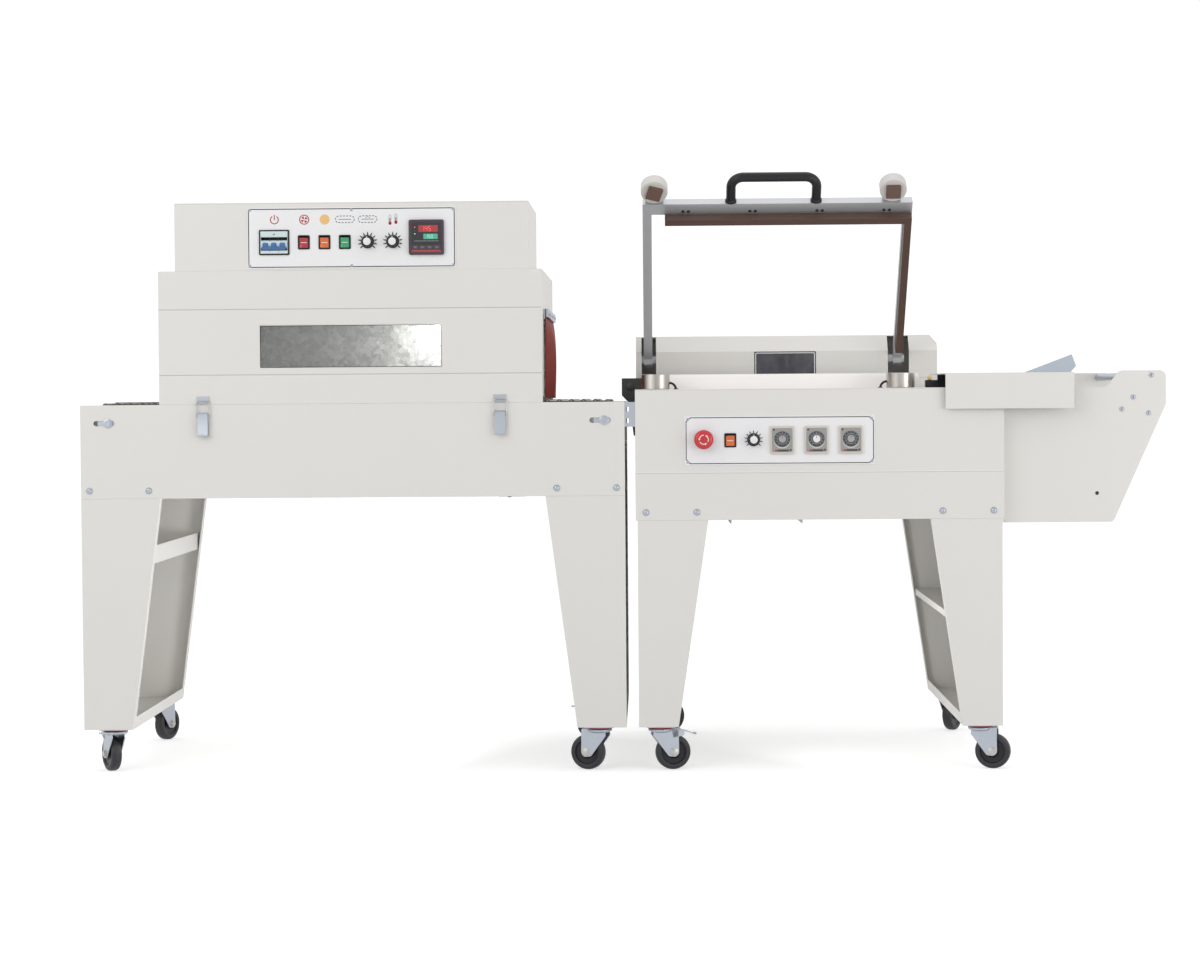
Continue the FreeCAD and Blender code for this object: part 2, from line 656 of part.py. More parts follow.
SEALER_FASCIA = (SEAL_LEFT + 104.0, 400.0, SEAL_MID + 16.0, 103.0)
SEALER_PANEL = [
    ("estop", SEALER_FASCIA[0] + 40.0, SEALER_ROW_Z + 2),
    ("rocker", SEALER_FASCIA[0] + 96.0, SEALER_ROW_Z),
    ("knob", SEALER_FASCIA[0] + 145.0, SEALER_ROW_Z + 1),
    ("timer", SEALER_FASCIA[0] + 205.0, SEALER_ROW_Z),
    ("timer", SEALER_FASCIA[0] + 277.0, SEALER_ROW_Z),
    ("timer", SEALER_FASCIA[0] + 349.0, SEALER_ROW_Z),
]
FASCIA_T = 1.5
GLAND_BORE_R = 5.0
GLANDS = [(BED_RIGHT - 304.0, BED_REAR, BED_BOTTOM + 90), (SEAL_RIGHT - 121.0, SEAL_REAR, SEAL_BOTTOM + 50)]
CUTOUT_SIZE = {"breaker": (58, 47), "rocker": (21, 26), "controller": (67, 67), "timer": (44, 53)}
CUTOUT_R = {"knob": 5.0, "estop": 11.0}


def cutout(item, y_face):
    kind, x, z = item
    if kind in CUTOUT_R:
        return hole((x, y_face - 5, z), (0, 1, 0), 15, CUTOUT_R[kind])
    cw, ch = CUTOUT_SIZE[kind]
    return block(x - cw / 2, x + cw / 2, y_face - 5, y_face + 10, z - ch / 2, z + ch / 2)


def fascia_plates():
    plates = []
    rows = ((TUNNEL_FASCIA, BOX_FRONT, TUNNEL_PANEL), (SEALER_FASCIA, FRONT, SEALER_PANEL))
    for (x, length, z, height), y, items in rows:
        plate = block(x, x + length, y - FASCIA_T, y, z, z + height)
        plates.append(cut_all(plate, [cutout(i, y) for i in items]))
    save("fascia_plates", plates)


ROCKER_HALF = 12.6
ROCKER_PADDLE_W = 18.0
ROCKER_DEG = 12.0


def rocker_frame(x, z, y):
    """Snap-in bezel with an open middle for the paddle; y is the fascia's face."""
    flange = block(x - 12.5, x + 12.5, y - 2, y, z - 15, z + 15)
    body = block(x - 10.4, x + 10.4, y - 1, y + 14, z - 12.9, z + 12.9)
    well = block(x - ROCKER_PADDLE_W / 2 - GAP, x + ROCKER_PADDLE_W / 2 + GAP, y - 3, y + 13,
                 z - ROCKER_HALF, z + ROCKER_HALF)
    return fuse([flange, body]).cut(well)


def rocker_paddle(name, x, z, y):
    pts = [(-6, 10.6), (-3.6, 0), (-6, -10.6), (2, -10), (6, -4), (6, 4), (2, 10)]
    paddle = plate_yz(pts, x - ROCKER_PADDLE_W / 2, x + ROCKER_PADDLE_W / 2)
    paddle.rotate(V(0, 0, 0), V(1, 0, 0), ROCKER_DEG)
    paddle.translate(V(0, y + 2, z))
    save(name, [paddle])


KNOB_SKIRT_R = 14.0
KNOB_GRIP_R = 11.0
KNOB_FLUTES = 6


def knob_mount(x, z, y):
    """Threaded bush of a potentiometer with its case behind the panel."""
    nut = rod((x, y, z), (0, -1, 0), 2, 7, BOLT_SIDES)
    bush = rod((x, y, z), (0, 1, 0), 8, 4.8)
    case = rod((x, y + 8, z), (0, 1, 0), 12, 12)
    bore = hole((x, y + 12, z), (0, -1, 0), 20, 3 + FIT)
    return fuse([nut, bush, case]).cut(bore)


def knob(name, x, z, y):
    skirt = rod((x, y - 2 - GAP, z), (0, -1, 0), 3, KNOB_SKIRT_R, ROUND_SIDES)
    shaft = rod((x, y + 10, z), (0, -1, 0), 14, 3)
    rim = []
    for i in range(KNOB_FLUTES):
        for share, r in ((-0.25, KNOB_GRIP_R), (0.0, KNOB_GRIP_R - 2.2), (0.25, KNOB_GRIP_R)):
            a = 2 * math.pi * (i + share) / KNOB_FLUTES
            rim.append((x + r * math.cos(a), z + r * math.sin(a)))
    grip = plate_xz(rim, y - 17 - GAP, y - 5 - GAP)
    save(name, [fuse([skirt, grip, shaft])])


def timer_case(x, z, y):
    flange = block(x - 25, x + 25, y - 6, y, z - 29.5, z + 29.5)
    body = block(x - 21.9, x + 21.9, y - 1, y + 50, z - 26.4, z + 26.4)
    well = hole((x, y - 7, z + 2), (0, 1, 0), 5, 18, ROUND_SIDES)
    bore = hole((x, y - 3, z + 2), (0, 1, 0), 12, 3 + FIT)
    return fuse([flange, body]).cut(well).cut(bore)


def timer_dial(name, x, z, y):
    disc = rod((x, y - 2 - GAP, z + 2), (0, -1, 0), 3.5, 17, ROUND_SIDES)
    grip = rod((x, y - 5, z + 2), (0, -1, 0), 7, 6.5)
    pointer = block(x - 1.2, x + 1.2, y - 7.5, y - 5, z + 5, z + 17)
    shaft = rod((x, y + 8, z + 2), (0, -1, 0), 11, 3)
    save(name, [fuse([disc, grip, pointer, shaft])])


def controller(x, z, y):
    flange = block(x - 37, x + 37, y - 7, y, z - 37, z + 37)
    screen = block(x - 31, x + 31, y - 8, y - 4.5, z - 18, z + 31)
    body = block(x - 33.4, x + 33.4, y - 1, y + 70, z - 33.4, z + 33.4)
    keys = [block(x - 30 + 16 * i, x - 18 + 16 * i, y - 8.2, y - 7, z - 31, z - 24) for i in range(4)]
    return fuse([flange.cut(screen), body] + keys)


BREAKER_HUB_R = 9.0


def breaker_case(x, z, y):
    flange = block(x - 32, x + 32, y - 3, y, z - 26.5, z + 26.5)
    body = block(x - 28.9, x + 28.9, y - 5, y + 60, z - 23.4, z + 23.4)
    case = fuse([flange, body])
    well = rod((x - 28, y + 2, z - 4), (1, 0, 0), 56, 17)
    mouth = block(x - 28, x + 28, y - 20, y + 2, z - 21, z + 13)
    return case.cut(fuse([well, mouth]))


def breaker_lever(x, z, y):
    hub = rod((x - 27.7, y + 2, z - 4), (1, 0, 0), 55.4, BREAKER_HUB_R)
    arms = []
    for dx in (-18, 0, 18):
        arms.append(block(x + dx - 5.5, x + dx + 5.5, y - 12, y, z - 7, z - 1))
    bar = block(x - 25, x + 25, y - 12, y - 8, z - 7, z - 3)
    lever = fuse([hub, bar] + arms)
    lever.rotate(V(x, y + 2, z - 4), V(1, 0, 0), 35)
    save("breaker_lever", [lever])


def estop_collar(x, z, y):
    ring = rod((x, y, z), (0, -1, 0), 6, 15, ROUND_SIDES)
    barrel = rod((x, y, z), (0, 1, 0), 30, 10.8)
    bore = hole((x, y + 22, z), (0, -1, 0), 40, 6 + FIT)
    return fuse([ring, barrel]).cut(bore)


def estop_button(x, z, y):
    stem = rod((x, y + 14, z), (0, -1, 0), 30, 6)
    profile = [(16, 0), (20.5, 4), (20.5, 8), (17, 12), (9, 14)]
    cap = turned((x, y - 12, z), (0, -1, 0), profile, ROUND_SIDES)
    save("estop_button", [fuse([stem, cap])])


def panel_instruments():
    parts = []
    counts = {}
    rows = [(i, BOX_FRONT - FASCIA_T) for i in TUNNEL_PANEL] + [(i, FRONT - FASCIA_T) for i in SEALER_PANEL]
    makers = {"breaker": breaker_case, "rocker": rocker_frame, "knob": knob_mount,
              "controller": controller, "timer": timer_case, "estop": estop_collar}
    names = {"rocker": ROCKER_NAMES, "knob": KNOB_NAMES, "timer": TIMER_NAMES}
    for (kind, x, z), y in rows:
        parts.append(makers[kind](x, z, y))
        n = counts.get(kind, 0)
        counts[kind] = n + 1
        if kind == "rocker":
            rocker_paddle(names[kind][n], x, z, y)
        elif kind == "knob":
            knob(names[kind][n], x, z, y)
        elif kind == "timer":
            timer_dial(names[kind][n], x, z, y)
        elif kind == "breaker":
            breaker_lever(x, z, y)
        elif kind == "estop":
            estop_button(x, z, y)
    for x, y, z in GLANDS:
        parts.append(cable_gland(x, y, z))
    save("panel_instruments", parts)


def cable_gland(x, y, z):
    """Empty mains gland on a rear panel; y is the panel's outer face."""
    hexagon = [(x + 13 * math.cos(math.radians(60 * i)), z + 13 * math.sin(math.radians(60 * i)))
               for i in range(6)]
    body = fuse([plate_xz(hexagon, y, y + 6), rod((x, y + 6, z), (0, 1, 0), 12, 10)])
    return body.cut(true_bore((x, y - 1, z), (0, 1, 0), 20, GLAND_BORE_R))


ROCKER_NAMES = ["heater_rocker", "fan_rocker", "conveyor_rocker", "power_rocker"]
KNOB_NAMES = ["belt_speed_knob", "fan_speed_knob", "seal_power_knob"]
TIMER_NAMES = ["seal_timer_dial", "cool_timer_dial", "feed_timer_dial"]


# Toggle latches between hood and bed

LATCH_X = (HOOD_LEFT + 93.0, HOOD_RIGHT - 90.0)
LATCH_PIVOT_Z = BED_TOP - 21.0
LATCH_LEVER_W = 22.0
LATCH_ARM = 8.0
BAIL_R = 1.25
BAIL_LEN = 36.0
BAIL_HALF = 13.0
LATCH_PIVOT_OUT = 6.0


def latch_plates(x):
    """Latch base on the bed and keeper on the hood."""
    yp = FRONT - LATCH_PIVOT_OUT
    zp = LATCH_PIVOT_Z
    base = block(x - 11, x + 11, FRONT - 1.2, FRONT, zp - 46, zp + 5)
    ears = []
    for s in (-1, 1):
        xa, xb = sorted((x + s * 9.6, x + s * 8.4))
        ears.append(block(xa, xb, yp - 2, FRONT - 1.2, zp - 1.8, zp + 1.8))
    pin = rod((x - 11.4, yp, zp), (1, 0, 0), 22.8, 1.5)
    z_wire = zp - LATCH_ARM + BAIL_LEN
    ledge_top = z_wire - BAIL_R - GAP
    keeper = block(x - 14, x + 14, FRONT - 1.5, FRONT, BED_TOP + 1, BED_TOP + 17)
    ledge = block(x - 9, x + 9, FRONT - 9, FRONT, ledge_top - 1.5, ledge_top)
    return [fuse([base] + ears + [pin]), fuse([keeper, ledge])]


def latch_lever(name, x):
    yp = FRONT - LATCH_PIVOT_OUT
    zp = LATCH_PIVOT_Z
    half = LATCH_LEVER_W / 2
    front = block(x - half, x + half, yp - 4.5, yp - 3.2, zp - 40, zp + 1.2)
    cheeks = []
    for s in (-1, 1):
        xa, xb = sorted((x + s * half, x + s * (half - 1.1)))
        cheeks.append(block(xa, xb, yp - 4.5, yp + 2.5, zp - 14, zp + 2.3))
    lip = plate_yz([(yp - 4.5, zp - 40), (yp - 8, zp - 46), (yp - 7, zp - 46.6), (yp - 3.2, zp - 40)],
                   x - half, x + half)
    boss = block(x - half, x + half, yp - 3.2, yp + 2.5, zp - 14, zp - LATCH_ARM + 2.2)
    lever = fuse([front, lip, boss] + cheeks)
    bore = hole((x - 20, yp, zp), (1, 0, 0), 40, 1.5 + FIT)
    wire = hole((x - 20, yp, zp - LATCH_ARM), (1, 0, 0), 40, BAIL_R + FIT)
    save(name, [cut_all(lever, [bore, wire])])


def bail(name, x):
    yp = FRONT - LATCH_PIVOT_OUT
    z0 = LATCH_PIVOT_Z - LATCH_ARM
    z1 = z0 + BAIL_LEN
    cross = rod((x - BAIL_HALF, yp, z0), (1, 0, 0), 2 * BAIL_HALF, BAIL_R)
    top = rod((x - BAIL_HALF, yp, z1), (1, 0, 0), 2 * BAIL_HALF, BAIL_R)
    sides = [rod((x + s * BAIL_HALF, yp, z0 - BAIL_R), (0, 0, 1), BAIL_LEN + 2 * BAIL_R, BAIL_R)
             for s in (-1, 1)]
    save(name, [fuse([cross, top] + sides)])


# Sealer body

CROSS_X = (SEAL_LEFT + 202.0, SEAL_LEFT + 353.0)
CROSS_T = 3.0


def sealer_body():
    x0, x1 = SEAL_LEFT, SEAL_RIGHT
    y0, y1 = FRONT, SEAL_REAR
    low = casing_sides(x0, x1, y0, y1, SEAL_BOTTOM, SEAL_MID)
    holes = []
    for x, sign in SEALER_LEG_X:
        for bx in leg_bolt_xs(x, sign, SEAL_LEG_TOP_W):
            holes.append(hole((bx, y0 - 1, SEAL_BOTTOM + BOLT_RISE), (0, 1, 0), SEAL_DEPTH + 2,
                              BOLT_R + BOLT_PLAY, BOLT_SIDES))
    x, y, z = GLANDS[1]
    gland_hole = hole((x, y - 5, z), (0, 1, 0), 10, GLAND_BORE_R + 3)
    low[0] = cut_all(low[0], holes)
    low[1] = cut_all(low[1], holes + [gland_hole])
    up = casing_sides(x0, x1, y0, y1, SEAL_MID, SEAL_TOP - SHEET)
    up[0] = cut_all(up[0], [cutout(i, FRONT) for i in SEALER_PANEL])
    well = block(x0 - 5, BELT_X[1] + BELT_PLATE_REACH + 2, BELT_Y[0] - BELT_PLATE_T - 2,
                 BELT_Y[1] + BELT_PLATE_T + 2, SEAL_TOP - 16, SEAL_TOP + 5)
    up[2] = up[2].cut(well)
    lead_holes = [hole((x, FRONT + MAGNET_BACK, SEAL_TOP - 5), (0, 0, 1), 10, 4, BOLT_SIDES) for x in LEAD_X]
    table = cut_all(block(x0, x1, y0, y1, SEAL_TOP - SHEET, SEAL_TOP), [well] + lead_holes)
    seam = block(x0 + SHEET, x1 - SHEET, y0 + SHEET, y0 + 2 * SHEET, SEAL_MID - 20, SEAL_MID + 20)
    brackets = []
    for x in CROSS_X:
        outline = [(y0 + 60, SEAL_BOTTOM + 12), (y0 + 60, SEAL_BOTTOM - 10), (y1 - 60, SEAL_BOTTOM - 10),
                   (y1 - 60, SEAL_BOTTOM + 12), (y1 - SHEET, SEAL_BOTTOM + 12), (y1 - SHEET, SEAL_BOTTOM + 30),
                   (y0 + SHEET, SEAL_BOTTOM + 30), (y0 + SHEET, SEAL_BOTTOM + 12)]
        brackets.append(plate_yz(outline, x - CROSS_T / 2, x + CROSS_T / 2))
    xa, xb = CROSS_X[0] + CROSS_T / 2, CROSS_X[1] - CROSS_T / 2
    shelf = block(xa, xb, -90.0, 90.0, SEAL_BOTTOM + 1, SEAL_BOTTOM + 4)
    transformer = block(xa + 15.5, xb - 15.5, -60.0, 60.0, SEAL_BOTTOM + 4, SEAL_BOTTOM + 92)
    save("sealer_body", low + up + [table, seam] + brackets + [transformer, shelf])


# Jaw, modelled closed and then swung open about its hinge

HINGE_Y = FRONT + HINGE_BACK
ARM_LOW = SEAL_Z + SEAL_PLAY + SEAL_BAR_H + POST_H
HINGE_Z = ARM_LOW + JAW_ARM_H / 2
BAR_Y = FRONT + JAW_BAR_BACK
LEAD_X = (MAGNET_X[0] + MAGNET_R + 14, MAGNET_X[1] - MAGNET_R - 14)
SEAL_BAR_X = JAW_RIGHT - JAW_ARM_W / 2


def opened(shape):
    shape.rotate(V(0, HINGE_Y, HINGE_Z), V(1, 0, 0), -JAW_OPEN_DEG)
    return shape


def disc_mount(x):
    """Ear, nylon holder and armature plate that drops onto an electromagnet."""
    y_mag = FRONT + MAGNET_BACK
    y_face = BAR_Y - JAW_BAR_W / 2
    top = ARM_LOW + JAW_ARM_H - 4
    ear = block(x - 20, x + 20, y_mag - 12, y_face, top - 8, top)
    plate_z = SEAL_Z + SEAL_PLAY
    disc = rod((x, y_mag, plate_z + 7), (0, 0, 1), top - 8 - plate_z - 7, 29.5, ROUND_SIDES)
    plate = block(x - 16, x + 16, y_mag - 16, y_mag + 16, plate_z, plate_z + 7)
    if x == MAGNET_X[0]:
        plate.rotate(V(x, y_mag, 0), V(0, 0, 1), 17)
    return [ear, disc, plate]


def jaw_frame():
    z0, z1 = ARM_LOW, ARM_LOW + JAW_ARM_H
    y_front = BAR_Y - JAW_BAR_W / 2
    bar = block(JAW_LEFT, JAW_RIGHT, y_front, BAR_Y + JAW_BAR_W / 2, z0, z1)
    arms = []
    for x0 in (JAW_LEFT, JAW_RIGHT - JAW_ARM_W):
        arm = block(x0, x0 + JAW_ARM_W, BAR_Y, HINGE_Y, z0, z1)
        eye = rod((x0, HINGE_Y, HINGE_Z), (1, 0, 0), JAW_ARM_W, JAW_ARM_H / 2 + 5)
        arms += [arm, eye]
    shaft = rod((JAW_LEFT - 6, HINGE_Y, HINGE_Z), (1, 0, 0), JAW_LEN + 12, HINGE_R)
    frame = fuse([bar, shaft] + arms)
    parts = [frame]
    for x in MAGNET_X:
        parts += disc_mount(x)
    save("jaw_frame", [opened(p) for p in parts])


def seal_bar():
    z0, z1 = SEAL_Z + SEAL_PLAY, SEAL_Z + SEAL_PLAY + SEAL_BAR_H
    h = SEAL_BAR_W / 2
    front = block(SEAL_BAR_LEFT, SEAL_BAR_X + h, BAR_Y - h, BAR_Y + h, z0, z1)
    side = block(SEAL_BAR_X - h, SEAL_BAR_X + h, BAR_Y, HINGE_Y - 45, z0, z1)
    posts = []
    for x in POST_X:
        posts.append(rod((x, BAR_Y, z1), (0, 0, 1), POST_H, 5, BOLT_SIDES))
    for y in (BAR_Y + 130, BAR_Y + 280):
        posts.append(rod((SEAL_BAR_X, y, z1), (0, 0, 1), POST_H, 5, BOLT_SIDES))
    save("seal_bar", [opened(fuse([front, side] + posts))])


POST_ENDS = (SEAL_BAR_LEFT + 46.0, JAW_RIGHT - 56.0)
POST_X = [POST_ENDS[0] + (POST_ENDS[1] - POST_ENDS[0]) * i / 3 for i in range(4)]
HANDLE_X = (JAW_LEFT + 194.0, JAW_LEFT + 381.0)
HANDLE_R = 10.5
HANDLE_PROUD = 64.0
HANDLE_BEND = 26.0


def jaw_handle():
    y0 = BAR_Y - JAW_BAR_W / 2
    y1 = y0 - HANDLE_PROUD
    xa, xb = HANDLE_X
    b = HANDLE_BEND
    c = b * (1 - math.sqrt(0.5))
    zc = HINGE_Z
    edges = [
        Part.LineSegment(V(xa, y0, zc), V(xa, y1 + b, zc)),
        Part.Arc(V(xa, y1 + b, zc), V(xa + c, y1 + c, zc), V(xa + b, y1, zc)),
        Part.LineSegment(V(xa + b, y1, zc), V(xb - b, y1, zc)),
        Part.Arc(V(xb - b, y1, zc), V(xb - c, y1 + c, zc), V(xb, y1 + b, zc)),
        Part.LineSegment(V(xb, y1 + b, zc), V(xb, y0, zc)),
    ]
    path = Part.Wire([e.toShape() for e in edges])
    ring = ring_wire((xa, y0, zc), (0, 1, 0), HANDLE_R, PIN_SIDES)
    tube = path.makePipeShell([ring], True, False)
    save("jaw_handle", [opened(tube)])


def magnet_lead(x, sign):
    """Short lead from an electromagnet's side down through the table."""
    y = FRONT + MAGNET_BACK
    x_mag = x + sign * MAGNET_R
    x_end = x + sign * (MAGNET_R + 14)
    z_top = SEAL_TOP + 14
    r = 2.5
    edge = Part.Arc(V(x_mag, y, z_top), V(x_end - sign * 14 * (1 - math.sqrt(0.5)), y,
                    SEAL_TOP + 14 * math.sqrt(0.5)), V(x_end, y, SEAL_TOP)).toShape()
    down = Part.LineSegment(V(x_end, y, SEAL_TOP), V(x_end, y, SEAL_TOP - 12)).toShape()
    ring = ring_wire((x_mag, y, z_top), (sign, 0, 0), r, BOLT_SIDES)
    lead = Part.Wire([edge, down]).makePipeShell([ring], True, False)
    return lead.cut(rod((x, y, SEAL_TOP - 20), (0, 0, 1), 80, MAGNET_R, ROUND_SIDES))


def seal_base():
    y_mag = FRONT + MAGNET_BACK
    parts = []
    for x, sign in zip(MAGNET_X, (1, -1)):
        cup = rod((x, y_mag, SEAL_TOP), (0, 0, 1), SEAL_Z - SEAL_TOP, MAGNET_R, ROUND_SIDES)
        groove = rod((x, y_mag, SEAL_Z - 1), (0, 0, 1), 2, 24).cut(
            rod((x, y_mag, SEAL_Z - 2), (0, 0, 1), 4, 17))
        parts.append(cup.cut(groove))
        parts.append(magnet_lead(x, sign))
    h = SEAL_BAR_W / 2 + 2
    z1 = SEAL_Z
    bar_top = z1 - PAD_T
    x_end = SEAL_BAR_X + h
    y_end = HINGE_Y - 45
    parts.append(block(SEAL_BAR_LEFT, x_end, BAR_Y - h, BAR_Y + h, SEAL_TOP, bar_top))
    parts.append(block(SEAL_BAR_X - h, x_end, BAR_Y + h, y_end, SEAL_TOP, bar_top))
    parts.append(block(SEAL_BAR_LEFT, x_end, BAR_Y - h + 2, BAR_Y + h - 2, bar_top, z1))
    parts.append(block(SEAL_BAR_X - h + 2, x_end - 2, BAR_Y + h - 2, y_end, bar_top, z1))
    px = SEAL_BAR_X + h + 6
    py = FRONT + MAGNET_BACK
    stand = block(px, px + 26, py - 8, py + 8, SEAL_TOP, SEAL_TOP + 16)
    arm = block(px + 6, px + 12, py - 6, py + 6, SEAL_TOP + 16, SEAL_TOP + 26)
    stud = rod((px + 9, py - 6, SEAL_TOP + 21), (0, -1, 0), 8, 4)
    parts.append(fuse([stand, arm]))
    parts.append(stud)
    save("seal_base", parts)


def cover_line(y0, y1, t):
    """Section of the rear cover, set in by t: up the front, over the slope, back and down."""
    return [(y0 + t, COVER_LIP_Z), (y0 + t, COVER_BEND_Z), (y0 + COVER_SLOPE + t, COVER_TOP_Z - t),
            (y1 - t, COVER_TOP_Z - t), (y1 - t, SEAL_TOP)]


def cover_corner(y0, y1):
    """Sheet that closes the chamfered corner at the cover's right end, and what it leaves outside."""
    x1, z1, t = COVER_RIGHT, COVER_TOP_Z, SHEET
    a, b = COVER_CHAMFER
    sheet = [(x1 - a, z1), (x1, z1 - b), (x1, z1 - b - 2 * t), (x1 - t, z1 - b - t), (x1 - a - t / 2, z1 - t),
             (x1 - a - 2 * t, z1)]
    outside = [(x1 - a, z1), (x1 - a, z1 + 1), (x1 + 1, z1 + 1), (x1 + 1, z1 - b), (x1, z1 - b)]
    return plate_xz(sheet, y0, y1), plate_xz(outside, y0, y1)


def rear_cover():
    y0 = FRONT + COVER_FRONT_BACK
    y1 = y0 + COVER_DEPTH
    x0, x1 = SEAL_LEFT, COVER_RIGHT
    outer, inner = cover_line(y0, y1, 0), cover_line(y0, y1, SHEET)
    face = plate_yz(outer[:3] + inner[2::-1], x0, x1)
    back = plate_yz(outer[2:] + inner[:1:-1], x0, x1)
    section = [(y0 + SHEET, SEAL_TOP)] + inner[1:]
    ends = [plate_yz(section, x, x + SHEET) for x in (x0, x1 - SHEET)]
    slots = []
    for xa, xb in ((JAW_LEFT - 5, JAW_LEFT + 28), (JAW_RIGHT - 32, JAW_RIGHT + 16)):
        slots.append(block(xa, xb, y0 - 5, HINGE_Y + 36, COVER_LIP_Z - 5, COVER_TOP_Z + 5))
    corner, outside = cover_corner(y0 - 5, y1 + 5)
    parts = [cut_all(piece, slots + [corner, outside]) for piece in (face, back)]
    parts += [ends[0], cut_all(ends[1], [corner, outside])]
    whole = plate_yz([(y0, COVER_LIP_Z)] + outer[1:], x0, x1)
    parts.append(corner.common(whole))
    for x in HINGE_POST_X:
        post = block(x, x + HINGE_POST_W, HINGE_Y - 17, HINGE_Y + 25, SEAL_TOP, HINGE_Z + 18)
        parts.append(post.cut(hole((x - 1, HINGE_Y, HINGE_Z), (1, 0, 0), HINGE_POST_W + 2, HINGE_R + FIT)))
    save("rear_cover", parts)


# Discharge belt

BELT_Z = BELT_TOP - BELT_T - BELT_ROLLER_R - GAP


def belt_conveyor():
    r_in = BELT_ROLLER_R + GAP
    xa, xb = BELT_X
    y0, y1 = BELT_Y
    outer = racetrack(r_in + BELT_T, xa, xb, BELT_Z, y0 + 3, y1 - 3)
    inner = racetrack(r_in, xa, xb, BELT_Z, y0 + 2, y1 - 2)
    parts = [outer.cut(inner)]
    slider = block(xa + BELT_PLATE_REACH, xb - BELT_PLATE_REACH, y0, y1, BELT_Z + r_in - 3, BELT_Z + r_in)
    parts.append(slider)
    for ya, yb in ((y0 - BELT_PLATE_T, y0), (y1, y1 + BELT_PLATE_T)):
        x_nose, x_end = xa - 19, xb + BELT_PLATE_REACH
        outline = [(x_nose, BELT_TOP + 1), (x_end, BELT_TOP + 1), (x_end, SEAL_TOP - 12),
                   (SEAL_LEFT, SEAL_TOP - 12), (SEAL_LEFT, SEAL_TOP - 99), (SEAL_LEFT - 4, SEAL_TOP - 99),
                   (xa - 2, SEAL_TOP - 30), (x_nose, SEAL_TOP - 12)]
        plate = plate_xz(outline, ya, yb)
        bores = [hole((x, ya - 1, BELT_Z), (0, 1, 0), BELT_PLATE_T + 2, BELT_SHAFT_R + FIT) for x in BELT_X]
        parts.append(cut_all(plate, bores))
    save("belt_conveyor", parts)


def belt_roller(name, x):
    y0, y1 = BELT_Y
    drum = rod((x, y0 + 2, BELT_Z), (0, 1, 0), y1 - y0 - 4, BELT_ROLLER_R, ROUND_SIDES)
    shaft = rod((x, y0 - BELT_PLATE_T, BELT_Z), (0, 1, 0), y1 - y0 + 2 * BELT_PLATE_T, BELT_SHAFT_R)
    save(name, [fuse([drum, shaft])])


# Film cradle and loading tray

SCREW_R = 3.0
CRADLE_SCREWS = [(SEAL_RIGHT + dx, SEAL_TOP + dz)
                 for dx, dz in ((312.0, 23.0), (274.0, -23.4), (250.0, -48.3), (306.0, -56.7))]


def cradle_outline():
    rim = SEAL_TOP - SHEET
    return [(SEAL_RIGHT, SEAL_BOTTOM), (CRADLE_RIGHT - 111, SEAL_BOTTOM), (CRADLE_RIGHT, SEAL_TOP - 38),
            (CRADLE_RIGHT, SEAL_TOP + 33), (CRADLE_RIGHT - 99, SEAL_TOP + 33), (CRADLE_RIGHT - 124, rim),
            (SEAL_RIGHT, rim)]


def film_cradle():
    parts = []
    t = SHEET
    y_f = FRONT + CRADLE_INSET
    y_r = SEAL_REAR - CRADLE_INSET
    holes = [hole((x, y_f - 5, z), (0, 1, 0), y_r - y_f + 10, SCREW_R + BOLT_PLAY, BOLT_SIDES)
             for x, z in CRADLE_SCREWS]
    holes.append(hole((FILM_ROLLER_X[1], y_f - 5, FILM_ROLLER_Z), (0, 1, 0), 10, 4))
    for ya, yb in ((y_f, y_f + t), (y_r - t, y_r)):
        parts.append(cut_all(plate_xz(cradle_outline(), ya, yb), holes))
    back = block(SEAL_RIGHT, SEAL_RIGHT + t, y_f + t, y_r - t, SEAL_BOTTOM + 4, SEAL_TOP - 8)
    parts.append(back)
    for x, z in CRADLE_SCREWS[:2]:
        tie = rod((x, y_f + t, z), (0, 1, 0), y_r - y_f - 2 * t, 8)
        parts.append(cut_all(tie, [hole((x, y, z), (0, d, 0), 14, SCREW_R + BOLT_PLAY, BOLT_SIDES)
                                   for y, d in ((y_f, 1), (y_r, -1))]))
    for x in FILM_ROLLER_X:
        for ya, yb, d in ((y_f + t, y_f + t + FILM_HOUSE_T, 1), (y_r - t - FILM_HOUSE_T, y_r - t, -1)):
            h = FILM_HOUSE / 2
            house = block(x - h, x + h, ya, yb, FILM_ROLLER_Z - h, FILM_ROLLER_Z + h)
            start = ya + 4 if d > 0 else yb - 4
            parts.append(house.cut(hole((x, start, FILM_ROLLER_Z), (0, d, 0), 20, FILM_SHAFT_R + FIT)))
    parts += loading_tray()
    save("film_cradle", parts)


def loading_tray():
    """Tray with an apron in front and a film edge that rises along its 45 degree rear side."""
    x0, x1 = TRAY_X
    yt = FRONT - TRAY_PROUD
    y_lip = FRONT + TRAY_LIP
    outline = [(x0, yt), (x1, yt), (x1, y_lip), (x0, y_lip + x1 - x0)]
    top = plate_xy(outline, TRAY_TOP - SHEET, TRAY_TOP)
    apron = block(x0, x1, yt, yt + SHEET, TRAY_TOP - TRAY_DROP, TRAY_TOP - SHEET)
    legs = []
    for y in (FRONT + 30, FRONT + 250):
        reach = min(SEAL_RIGHT - 10, x1 + y_lip - y - 20)
        legs.append(block(x0 + 10, reach, y, y + SHEET, SEAL_TOP, TRAY_TOP - SHEET))
    edge = [(x1 - 82, TRAY_TOP - SHEET), (x1, TRAY_TOP - SHEET), (x1 + 12, TRAY_TOP + 14), (x1 + 4, TRAY_TOP + 38),
            (x1 - 82, TRAY_TOP + 2)]
    flap = polygon([(x, y_lip + x1 - x, z) for x, z in edge]).extrude(V(SHEET, SHEET, 0) / math.sqrt(2))
    return [top, apron] + legs + [flap]


